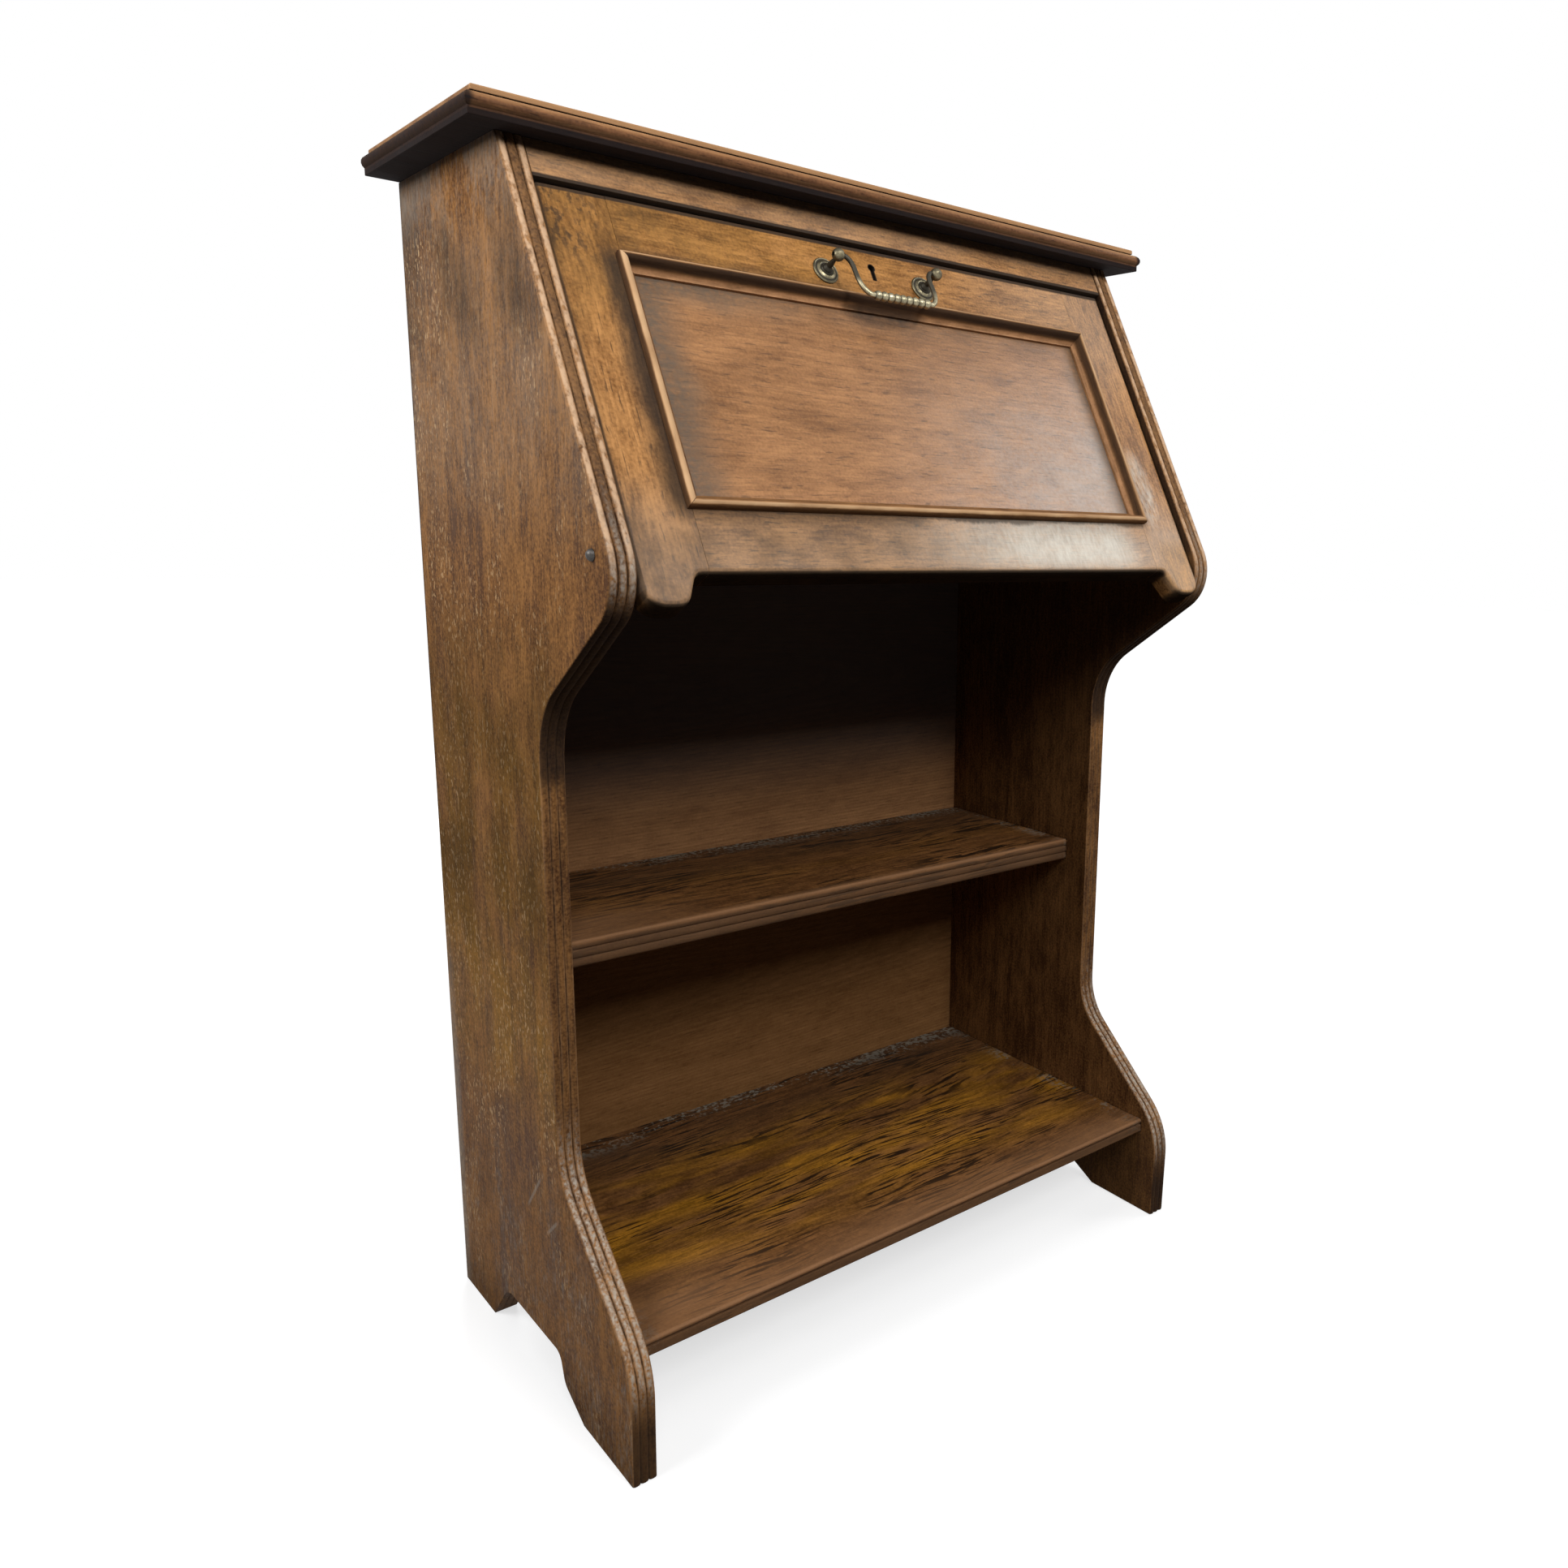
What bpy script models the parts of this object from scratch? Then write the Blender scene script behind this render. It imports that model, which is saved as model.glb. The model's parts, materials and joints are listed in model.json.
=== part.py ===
"""Oak writing bureau: a sloping fall front between shaped, reeded sides, over two open shelves.

Units are metres, +Z is up and the front faces -Y. The origin is on the floor, in the middle of the
bureau's width and depth. Depths are measured forward from the rear edge of the sides.
"""

from math import acos, asin, cos, pi, radians, sin, tan

import bmesh
import bpy
from mathutils import Matrix, Vector

# Clearances
FIT = 0.0003  # between faces that touch
SWING_GAP = 0.001  # round the fall, where it swings
OVERRUN = 0.01  # how far a cutter runs past the face it opens

# Sides: the front edge slopes to a knee below the pivot, runs in to a waist and splays out to the foot
SIDE_SPAN = 0.645
SIDE_THICKNESS = 0.021
SIDE_HEIGHT = 1.034
SIDE_TOP_DEPTH = 0.2165
SLOPE = radians(28.68)
KNEE_RUN = 0.042
KNEE_RADIUS = 0.043
UNDERCUT_FALL = 0.101
UNDERCUT_RADIUS = 0.071
WAIST_DEPTH = 0.246
SPLAY_HEIGHT = 0.2165
SPLAY_RADIUS = 0.066
FOOT_DEPTH = 0.3715
FOOT_HEIGHT = 0.104
FOOT_RADIUS = 0.075
TOE_TUCK = 0.002

# Arch between the two feet of a side
REAR_FOOT = 0.0755
FRONT_FOOT = 0.092
ARCH_HEIGHT = 0.0445
ARCH_REAR_RUN = 0.037
ARCH_REAR_RADIUS = 0.03
ARCH_FRONT_RADIUS = 0.012
ARCH_LIP_RUN = 0.0375
ARCH_LIP_STEP = 0.008
ARCH_LIP_HEIGHT = 0.019
ARCH_LIP_RADIUS = 0.015

# Reeding on the front edges of the sides and the middle shelf
REEDS = 3
REED_DEPTH = 0.0018
REED_FACETS = 6

# Top board and its moulded edge
TOP_THICKNESS = 0.0215
TOP_END_OVERHANG = 0.029
TOP_FRONT_OVERHANG = 0.0255
TOP_FILLET_SET = 0.0065
TOP_FILLET_HEIGHT = 0.0045
TOP_FILLET_ROUND = 0.0015
TOP_QUIRK = 0.0012
TOP_BEAD_RADIUS = 0.0055
TOP_BAND_SET = 0.0025
BEAD_FACETS = 6

# Shelves, bureau floor, back and joints
HOUSING = 0.007
MIDDLE_SHELF_TOP = 0.4075
MIDDLE_SHELF_SETBACK = 0.0325
MIDDLE_SHELF_THICKNESS = 0.0232
BOTTOM_SHELF_TOP = 0.109
BOTTOM_SHELF_SETBACK = 0.012
BOTTOM_SHELF_THICKNESS = 0.015
SHELF_BEAD = 0.005
SHELF_GROOVE = 0.0012
FLOOR_THICKNESS = 0.016
BACK_THICKNESS = 0.009
BACK_SETBACK = 0.0005
REBATE_WIDTH = 0.008
TENON_LENGTH = 0.025
TENON_SHOULDER = 0.012
FRIEZE_TENON = 0.009

# Frieze rail, stop strip and the blocks under the top
FRIEZE_DROP = 0.0325
FRIEZE_RECESS = 0.0015
STOP_THICKNESS = 0.012
STOP_LAP = 0.015
STOP_RISE = 0.022
BLOCK_SIZE = 0.018
BLOCK_LENGTH = 0.14
BLOCK_SETBACK = 0.02

# Pigeonholes at the back of the bureau floor
PIGEONHOLES = 4
PIGEON_HEIGHT = 0.135
PIGEON_DEPTH = 0.15
PIGEON_BOARD = 0.008
PIGEON_HOLLOW = 0.022
HOLLOW_FACETS = 8

# Fall front: a frame of stiles and rails round a panel, turning on a pin at each ear
FALL_RECESS = 0.0055
FALL_THICKNESS = 0.022
FALL_TOP_GAP = 0.002
FALL_HEIGHT = 0.3165
FRAME_WIDTH = 0.055
EDGE_ROUND = 0.004
ROUND_FACETS = 3
EAR_DROP = 0.025
EAR_FLAT = 0.0105
EAR_SHOULDER = 0.0115
EAR_OUTER_RADIUS = 0.017
EAR_INNER_RADIUS = 0.013
EAR_NECK_RADIUS = 0.008
PIVOT_RISE = 0.0215
PIVOT_COVER = 0.0063
PANEL_RAISE = 0.003
PANEL_SETBACK = 0.0005
GROOVE_COVER = 0.005
GROOVE_WIDTH = 0.008
GROOVE_DEPTH = 0.008
ARC_FACETS = 12

# Moulding planted round the panel
MOULDING_LAP = 0.004
MOULDING_REACH = 0.009
MOULDING_RISE = 0.007
MOULDING_BEAD = 0.0036
MOULDING_TOE = 0.0022
MITRE_GAP = 0.0002

# Pivot pins
PIN_RADIUS = 0.003
PIN_CLEARANCE = 0.0004
PIN_BITE = 0.024
PIN_HEAD_RADIUS = 0.0046
PIN_HEAD_HEIGHT = 0.0042
ROUND_SIDES = 20

# Swan-neck handle: two roses and posts, and a bail that hangs between the posts
HANDLE_SPAN = 0.107
HANDLE_LOWER = 0.0035
ROSE_RADIUS = 0.0125
ROSE_HEIGHT = 0.0044
WHOLE = 100  # the shares of the next line and of the bail's bend are hundredths
ROSE_SHAPE = (  # of the rose's radius and height, from the rim to the middle
    (97, 0), (100, 30), (92, 50), (80, 40), (70, 65), (57, 80), (47, 70), (40, 100),
)
POST_RADIUS = 0.0028
POST_COLLAR = 0.0045
POST_COLLAR_TOP = 0.0042
POST_NECK = 0.0026
POST_BALL = 0.0056
POST_FINIAL = 0.0022
POST_FINIAL_RISE = 0.0053
POST_TIP = 0.0066
BAIL_STANDOFF = 0.0225
BAIL_PIN = 0.0016
BAIL_ARM = 0.0021
BAIL_GRIP = 0.0024
BAIL_BEAD = 0.0012
BAIL_BEADS = 9
BAIL_BEAD_STEPS = 4
BAIL_DROP = 0.0375
BAIL_SHOULDER = 0.0118
BAIL_BEND = (  # of the shoulder, inward from the neck, and of the drop, down to the grip
    (-16, 9), (-1, 24), (0, 45), (4, 67), (25, 86), (62, 98),
)
BAIL_GRIP_HALF = 0.03
BAIL_BOW = 0.003
BAIL_STEPS = 6
BAIL_SIDES = 12
EYE_CLEARANCE = 0.0004
NUT_RADIUS = 0.0065
NUT_HEIGHT = 0.004
NUT_SIDES = 6
NUT_POCKET = 0.006

# Lock let into the fall's top rail, its bolt and the keeper in the frieze rail
LOCK_WIDTH = 0.064
LOCK_HEIGHT = 0.0325
LOCK_DEPTH = 0.013
BOLT_WIDTH = 0.018
BOLT_THICKNESS = 0.005
BOLT_PLAY = 0.0006
BOLT_LENGTH = 0.024
BOLT_SETBACK = 0.001
BOLT_TRAVEL = 0.009
KEEPER_WIDTH = 0.044
KEEPER_DEPTH = 0.0095
KEEPER_THICKNESS = 0.0015
KEYHOLE_HIGHER = 0.0095
KEYHOLE_RADIUS = 0.0034
KEYHOLE_SLOT = 0.0036
KEYHOLE_HEIGHT = 0.0165
KEYHOLE_BITE = 0.002

# Worked out from the sizes above
SIDE_INNER = SIDE_SPAN / 2 - SIDE_THICKNESS
BACK_FRONT = BACK_SETBACK + BACK_THICKNESS
FALL_HALF = SIDE_INNER - SWING_GAP
FALL_BACK = PIVOT_COVER
FALL_FACE = FALL_BACK - FALL_THICKNESS
FALL_BOTTOM = -PIVOT_RISE
FALL_TOP = FALL_BOTTOM + FALL_HEIGHT
EAR_BOTTOM = FALL_BOTTOM - EAR_DROP
PANEL_HALF = FALL_HALF - FRAME_WIDTH
PANEL_BOTTOM = FALL_BOTTOM + FRAME_WIDTH
PANEL_TOP = FALL_TOP - FRAME_WIDTH
GROOVE_FAR = FALL_BACK - GROOVE_COVER
GROOVE_NEAR = GROOVE_FAR - GROOVE_WIDTH
PANEL_FRONT = GROOVE_NEAR - PANEL_RAISE
PIVOT_DROP = FRIEZE_DROP + FALL_TOP_GAP + FALL_TOP
PIVOT_BEHIND = FALL_RECESS - FALL_FACE
PIVOT_DEPTH = SIDE_TOP_DEPTH + PIVOT_DROP * sin(SLOPE) - PIVOT_BEHIND * cos(SLOPE)
PIVOT_HEIGHT = SIDE_HEIGHT - PIVOT_DROP * cos(SLOPE) - PIVOT_BEHIND * sin(SLOPE)
FALL_REAR = FALL_RECESS + FALL_THICKNESS  # the fall's inner face, measured in from the sides' front edge
FLOOR_UNDER = PIVOT_HEIGHT + FALL_BACK + FIT  # the ears swing up under it and stop the open fall
FLOOR_TOP = FLOOR_UNDER + FLOOR_THICKNESS
HANDLE_UP = FALL_TOP - FRAME_WIDTH / 2 - HANDLE_LOWER
KEYHOLE_UP = FALL_TOP - FRAME_WIDTH / 2 + KEYHOLE_HIGHER
BAIL_PIN_INNER = HANDLE_SPAN / 2 - POST_BALL - EYE_CLEARANCE
BOLT_AT = FALL_BACK - LOCK_DEPTH / 2

# Finishes: linear colour, roughness and metallic value
OAK_SIDE = ((0.165, 0.082, 0.034), 0.48, 0.0)
OAK_FALL = ((0.27, 0.135, 0.052), 0.42, 0.0)
OAK_SHELF = ((0.12, 0.06, 0.018), 0.5, 0.0)
OAK_INSIDE = ((0.06, 0.031, 0.016), 0.6, 0.0)
BRASS = ((0.33, 0.26, 0.12), 0.36, 1.0)
IRON = ((0.2, 0.19, 0.175), 0.45, 1.0)


def clear_scene():
    """Removes every object that the file holds."""
    for obj in list(bpy.data.objects):
        bpy.data.objects.remove(obj, do_unlink=True)


def add_empty(name, parent=None, location=(0, 0, 0), tilt=0.0):
    """An empty that carries the pieces modelled in its frame."""
    empty = bpy.data.objects.new(name, None)
    empty.parent = parent
    empty.location = location
    empty.rotation_euler.x = tilt
    bpy.context.scene.collection.objects.link(empty)
    return empty


def paint(name, finish):
    """A Principled material of one finish."""
    colour, roughness, metallic = finish
    material = bpy.data.materials.new(name)
    material.use_nodes = True
    shader = material.node_tree.nodes["Principled BSDF"]
    shader.inputs["Base Color"].default_value = (*colour, 1.0)
    shader.inputs["Roughness"].default_value = roughness
    shader.inputs["Metallic"].default_value = metallic
    return material


def add_piece(name, bm, finish, parent, location=(0, 0, 0)):
    """Turns a bmesh into a named object with its own material."""
    mesh = bpy.data.meshes.new(name)
    bm.to_mesh(mesh)
    bm.free()
    mesh.shade_smooth()
    mesh.set_sharp_from_angle(angle=radians(30))
    mesh.materials.append(paint(name, finish))
    piece = bpy.data.objects.new(name, mesh)
    piece.parent = parent
    piece.location = location
    bpy.context.scene.collection.objects.link(piece)
    return piece


def shape_with(piece, bm, operation, name):
    """Cuts or joins a helper solid, given in the piece's own frame."""
    mesh = bpy.data.meshes.new(name)
    bm.to_mesh(mesh)
    bm.free()
    helper = bpy.data.objects.new(name, mesh)
    helper.parent = piece.parent
    helper.location = piece.location
    helper.hide_render = True
    helper.display_type = "WIRE"
    bpy.context.scene.collection.objects.link(helper)
    modifier = piece.modifiers.new(name, "BOOLEAN")
    modifier.operation = operation
    modifier.object = helper
    modifier.solver = "EXACT"


def cut(piece, bm, name):
    """Takes a helper solid out of a piece."""
    shape_with(piece, bm, "DIFFERENCE", f"{piece.name}_{name}_cutter")


def join(piece, bm, name):
    """Adds a helper solid to a piece."""
    shape_with(piece, bm, "UNION", f"{piece.name}_{name}_helper")


def loft(loops):
    """A closed solid through loops of equally many points, with flat ends."""
    bm = bmesh.new()
    rings = [[bm.verts.new(point) for point in loop] for loop in loops]
    for near, far in zip(rings, rings[1:]):
        for i in range(len(near)):
            j = (i + 1) % len(near)
            bm.faces.new((near[i], near[j], far[j], far[i]))
    bm.faces.new(rings[0])
    bm.faces.new(rings[-1])
    bmesh.ops.recalc_face_normals(bm, faces=bm.faces)
    return bm


def prism(section, low, high):
    """A section of (y, z) points run along X."""
    return loft([[(x, y, z) for y, z in section] for x in (low, high)])


def box(low, high):
    """A block between two corners."""
    (x0, y0, z0), (x1, y1, z1) = low, high
    return prism([(y0, z0), (y1, z0), (y1, z1), (y0, z1)], x0, x1)


def turned(profile, sides, turn=None, ring=False):
    """A profile of (radius, height) points spun about Z, then turned to lie along its own axis."""
    bm = bmesh.new()
    verts = [bm.verts.new((radius, 0, height)) for radius, height in profile]
    pairs = list(zip(verts, verts[1:]))
    if ring:
        pairs.append((verts[-1], verts[0]))
    edges = [bm.edges.new(pair) for pair in pairs]
    bmesh.ops.spin(bm, geom=verts + edges, cent=(0, 0, 0), axis=(0, 0, 1), angle=2 * pi, steps=sides)
    bmesh.ops.remove_doubles(bm, verts=bm.verts, dist=1e-6)
    bmesh.ops.recalc_face_normals(bm, faces=bm.faces)
    if turn:
        bm.transform(turn)
    return bm


def rod(radius, low, high, turn, centre=(0, 0, 0)):
    """A plain cylinder about an axis through centre, for holes."""
    bm = turned([(0, low), (radius, low), (radius, high), (0, high)], ROUND_SIDES, turn)
    bm.transform(Matrix.Translation(centre))
    return bm


ALONG_X = Matrix.Rotation(pi / 2, 4, "Y")
OUTWARD = Matrix.Rotation(pi / 2, 4, "X")  # a turned piece's height points out of the fall, to -Y


def rounded(corners, radii):
    """(point, inward normal) pairs along a chain of corners whose inner corners are rounded.

    The material lies to the right of the way the chain runs.
    """
    corners = [Vector(corner) for corner in corners]
    first = (corners[1] - corners[0]).normalized()
    last = (corners[-1] - corners[-2]).normalized()
    chain = [(corners[0], Vector((first.y, -first.x)))]
    for before, at, after, radius in zip(corners, corners[1:], corners[2:], radii):
        back = (before - at).normalized()
        ahead = (after - at).normalized()
        half = back.angle(ahead) / 2
        centre = at + (back + ahead).normalized() * radius / sin(half)
        arm = at + back * radius / tan(half) - centre
        left_turn = ahead.x * back.y - ahead.y * back.x > 0
        sweep = (pi - 2 * half) if left_turn else (2 * half - pi)
        for k in range(ARC_FACETS + 1):
            spoke = Matrix.Rotation(sweep * k / ARC_FACETS, 2) @ arm
            chain.append((centre + spoke, spoke.normalized() * (1 if left_turn else -1)))
    chain.append((corners[-1], Vector((last.y, -last.x))))
    return chain


def inset(chain, distance, level_ends=False):
    """The chain's points moved into the material; level ends slide along the first axis only."""
    points = [point + normal * distance for point, normal in chain]
    if level_ends:
        for i in (0, -1):
            point, normal = chain[i]
            points[i] = point + Vector((distance / normal.x, 0))
    return points


def reed_steps(width):
    """(place across the edge, inset) pairs of the reeds worked along an edge of this width."""
    reed = width / REEDS
    steps = []
    for number in range(REEDS):
        for k in range(REED_FACETS):
            phase = pi * k / REED_FACETS
            place = reed * (number + (1 - cos(phase)) / 2)
            steps.append((place, REED_DEPTH * (1 - sin(phase))))
    steps.append((width, REED_DEPTH))
    return steps


def front_edge():
    """The side's front edge, from the top to the toe, as (depth, height) with inward normals."""
    slope_run = PIVOT_DROP + KNEE_RUN
    knee = Vector((SIDE_TOP_DEPTH + slope_run * sin(SLOPE), SIDE_HEIGHT - slope_run * cos(SLOPE)))
    corners = [
        (SIDE_TOP_DEPTH, SIDE_HEIGHT),
        knee,
        (WAIST_DEPTH, knee.y - UNDERCUT_FALL),
        (WAIST_DEPTH, SPLAY_HEIGHT),
        (FOOT_DEPTH, FOOT_HEIGHT),
        (FOOT_DEPTH - TOE_TUCK, 0),
    ]
    return rounded(corners, [KNEE_RADIUS, UNDERCUT_RADIUS, SPLAY_RADIUS, FOOT_RADIUS])


def edge_depth(height):
    """How far forward the side's front edge stands at a height."""
    points = [point for point, _ in front_edge()]
    for upper, lower in zip(points, points[1:]):
        if lower.y <= height <= upper.y:
            return lower.lerp(upper, (height - lower.y) / (upper.y - lower.y)).x
    return points[-1].x


def foot_arch():
    """The arch between the feet, from the front foot to the rear one."""
    heel = FOOT_DEPTH - TOE_TUCK - FRONT_FOOT
    corners = [
        (heel, 0),
        (heel - ARCH_LIP_RUN, ARCH_LIP_HEIGHT),
        (heel - ARCH_LIP_RUN - ARCH_LIP_STEP, ARCH_HEIGHT),
        (REAR_FOOT + ARCH_REAR_RUN, ARCH_HEIGHT),
        (REAR_FOOT, 0),
    ]
    radii = [ARCH_LIP_RADIUS, ARCH_FRONT_RADIUS, ARCH_REAR_RADIUS]
    return [point for point, _ in rounded(corners, radii)]


def overall_depth():
    """The depth over all: the knee, or the rounded lower edge of the fall's ears."""
    reaches = [point.x for point, _ in front_edge()]
    for y, distance in edge_rounding():
        reaches.append(PIVOT_DEPTH - y * cos(SLOPE) - (EAR_BOTTOM + distance) * sin(SLOPE))
    return max(reaches)


def edge_rounding():
    """(y, inset) of the rounding between the fall's face and its outer and lower edges."""
    steps = [pi / 2 * k / ROUND_FACETS for k in range(ROUND_FACETS + 1)]
    return [(FALL_FACE + EDGE_ROUND * (1 - cos(turn)), EDGE_ROUND * (1 - sin(turn))) for turn in steps]


def floor_depth():
    """How far forward the bureau floor runs, clear of the closed fall's inner face."""
    along = (FLOOR_TOP - PIVOT_HEIGHT + FALL_BACK * sin(SLOPE)) / cos(SLOPE)
    return PIVOT_DEPTH - FALL_BACK * cos(SLOPE) - along * sin(SLOPE) - SWING_GAP


def side_housings():
    """Each board let into the sides: name, depth of its front, and its heights."""
    bottom_front = edge_depth(BOTTOM_SHELF_TOP) - BOTTOM_SHELF_SETBACK
    bottom_under = BOTTOM_SHELF_TOP - BOTTOM_SHELF_THICKNESS
    middle_front = edge_depth(MIDDLE_SHELF_TOP) - MIDDLE_SHELF_SETBACK
    middle_under = MIDDLE_SHELF_TOP - MIDDLE_SHELF_THICKNESS
    pigeon_under = FLOOR_TOP + PIGEON_HEIGHT
    return [
        ("bottom_shelf", bottom_front, bottom_under, BOTTOM_SHELF_TOP),
        ("middle_shelf", middle_front, middle_under, MIDDLE_SHELF_TOP),
        ("bureau_floor", floor_depth(), FLOOR_UNDER, FLOOR_TOP),
        ("pigeonhole_shelf", PIGEON_DEPTH, pigeon_under, pigeon_under + PIGEON_BOARD),
    ]


def frieze_tenon(slack):
    """(low, high) corners, in (y, z) of the sloping front, of the frieze rail's tenon or its mortise."""
    middle = (FRIEZE_RECESS + FALL_REAR) / 2
    low = (middle - FRIEZE_TENON / 2 - slack, -FRIEZE_DROP + TENON_SHOULDER / 2 - slack)
    high = (middle + FRIEZE_TENON / 2 + slack, -TENON_SHOULDER / 4 + slack)
    return low, high


def build_side(hand, bureau, front_slope):
    """One shaped side; hand is -1 for the left one and 1 for the right one."""
    name = "left_side" if hand < 0 else "right_side"
    edge = front_edge()
    loops = []
    for across, depth in reed_steps(SIDE_THICKNESS):
        x = hand * (SIDE_SPAN / 2 - across)
        outline = [Vector((0, 0)), Vector((0, SIDE_HEIGHT))]
        outline += inset(edge, depth, level_ends=True)
        outline += foot_arch()
        loops.append([(x, -point.x, point.y) for point in outline])
    side = add_piece(name, loft(loops), OAK_SIDE, bureau)

    open_x = hand * (SIDE_INNER - OVERRUN)
    deep_x = hand * (SIDE_INNER + HOUSING)
    for board, depth, low, high in side_housings():
        block = box((open_x, -depth - FIT, low - FIT), (deep_x, -BACK_FRONT, high + FIT))
        cut(side, block, board)
    back_low = BOTTOM_SHELF_TOP - BOTTOM_SHELF_THICKNESS - FIT
    rebate_x = hand * (SIDE_INNER + REBATE_WIDTH)
    rebate = box((open_x, -BACK_FRONT - FIT, back_low), (rebate_x, OVERRUN, SIDE_HEIGHT + OVERRUN))
    cut(side, rebate, "rebate")

    hole = rod(PIN_RADIUS + PIN_CLEARANCE, -SIDE_SPAN, SIDE_SPAN, ALONG_X, (0, -PIVOT_DEPTH, PIVOT_HEIGHT))
    cut(side, hole, "pin_hole")
    (y0, z0), (y1, z1) = frieze_tenon(FIT)
    mortise = box((open_x, y0, z0), (deep_x, y1, z1))
    mortise.transform(front_slope.matrix_basis)
    cut(side, mortise, "mortise")


def build_top_board(bureau):
    """The top, with a fillet, a quirk and a bead worked along its front and ends."""
    half_round = [pi / 2 * k / ROUND_FACETS for k in range(ROUND_FACETS + 1)]
    profile = [
        (TOP_FILLET_ROUND * (1 - cos(turn)), TOP_FILLET_SET + TOP_FILLET_ROUND * (1 - sin(turn)))
        for turn in half_round
    ]
    quirk_drop = TOP_FILLET_HEIGHT + TOP_QUIRK
    profile.append((TOP_FILLET_HEIGHT, TOP_FILLET_SET))
    profile.append((TOP_FILLET_HEIGHT, TOP_FILLET_SET + TOP_QUIRK))
    profile.append((quirk_drop, TOP_FILLET_SET + TOP_QUIRK))
    start = -pi / 2
    end = acos(1 - TOP_BAND_SET / TOP_BEAD_RADIUS)
    for k in range(BEAD_FACETS + 1):
        turn = start + (end - start) * k / BEAD_FACETS
        drop = quirk_drop + TOP_BEAD_RADIUS * (1 + sin(turn))
        profile.append((drop, TOP_BEAD_RADIUS * (1 - cos(turn))))
    profile.append((TOP_THICKNESS, TOP_BAND_SET))
    top = SIDE_HEIGHT + FIT + TOP_THICKNESS
    half = SIDE_SPAN / 2 + TOP_END_OVERHANG
    front = SIDE_TOP_DEPTH + TOP_FRONT_OVERHANG
    loops = []
    for drop, set_back in profile:
        x = half - set_back
        y = -front + set_back
        loops.append([(-x, y, top - drop), (x, y, top - drop), (x, 0, top - drop), (-x, 0, top - drop)])
    add_piece("top_board", loft(loops), OAK_SIDE, bureau)


def nosing(depth, top, height, facets):
    """A half-round front edge, from its top down, as (y, z) points."""
    radius = height / 2
    turns = [pi * k / facets for k in range(facets + 1)]
    return [(-depth + radius * (1 - sin(turn)), top - radius * (1 - cos(turn))) for turn in turns]


def build_shelves(bureau):
    """The reeded middle shelf, the beaded bottom shelf and the round-nosed bureau floor."""
    half = SIDE_INNER + HOUSING - FIT
    rear = -BACK_FRONT - FIT
    bottom, middle, floor, _ = side_housings()

    name, depth, under, top = middle
    reeds = [(-depth + set_in, under + up) for up, set_in in reed_steps(MIDDLE_SHELF_THICKNESS)]
    section = [(rear, top), (rear, under)] + reeds
    add_piece(name, prism(section, -half, half), OAK_SHELF, bureau)

    name, depth, under, top = bottom
    groove_low = top - SHELF_BEAD - SHELF_GROOVE
    section = [(rear, under), (rear, top)] + nosing(depth, top, SHELF_BEAD, REED_FACETS)
    section += [(-depth + SHELF_BEAD / 2, groove_low), (-depth, groove_low)]
    section += [(-depth, under + SHELF_GROOVE), (-depth + SHELF_GROOVE, under)]
    add_piece(name, prism(section, -half, half), OAK_SHELF, bureau)

    name, depth, under, top = floor
    section = [(rear, under), (rear, top)] + nosing(depth, top, FLOOR_THICKNESS, ARC_FACETS)
    add_piece(name, prism(section, -half, half), OAK_INSIDE, bureau)


def build_back(bureau):
    """Three back boards in the sides' rebates; their joints lie behind the shelf and the bureau floor."""
    half = SIDE_INNER + REBATE_WIDTH - FIT
    joints = [
        BOTTOM_SHELF_TOP - BOTTOM_SHELF_THICKNESS,
        MIDDLE_SHELF_TOP - MIDDLE_SHELF_THICKNESS / 2,
        FLOOR_TOP - FLOOR_THICKNESS / 2,
        SIDE_HEIGHT,
    ]
    for name, low, high in zip(("lower", "middle", "upper"), joints, joints[1:]):
        corners = (-half, -BACK_FRONT, low + FIT / 2), (half, -BACK_SETBACK, high - FIT / 2)
        add_piece(f"back_board_{name}", box(*corners), OAK_INSIDE, bureau)


def build_pigeonholes(bureau):
    """A shelf over a row of pigeonholes, with hollowed dividers."""
    half = SIDE_INNER + HOUSING - FIT
    rear = -BACK_FRONT - FIT
    under = FLOOR_TOP + PIGEON_HEIGHT
    block = box((-half, -PIGEON_DEPTH, under), (half, rear, under + PIGEON_BOARD))
    add_piece("pigeonhole_shelf", block, OAK_INSIDE, bureau)
    low = FLOOR_TOP + FIT
    high = under - FIT
    hollow = []
    for k in range(HOLLOW_FACETS + 1):
        share = k / HOLLOW_FACETS
        hollow.append((-PIGEON_DEPTH + PIGEON_HOLLOW * sin(pi * share), high + (low - high) * share))
    pitch = 2 * SIDE_INNER / PIGEONHOLES
    for number in range(1, PIGEONHOLES):
        x = -SIDE_INNER + pitch * number
        board = prism([(rear, low), (rear, high)] + hollow, x - PIGEON_BOARD / 2, x + PIGEON_BOARD / 2)
        add_piece(f"pigeonhole_divider_{number}", board, OAK_INSIDE, bureau)


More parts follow.
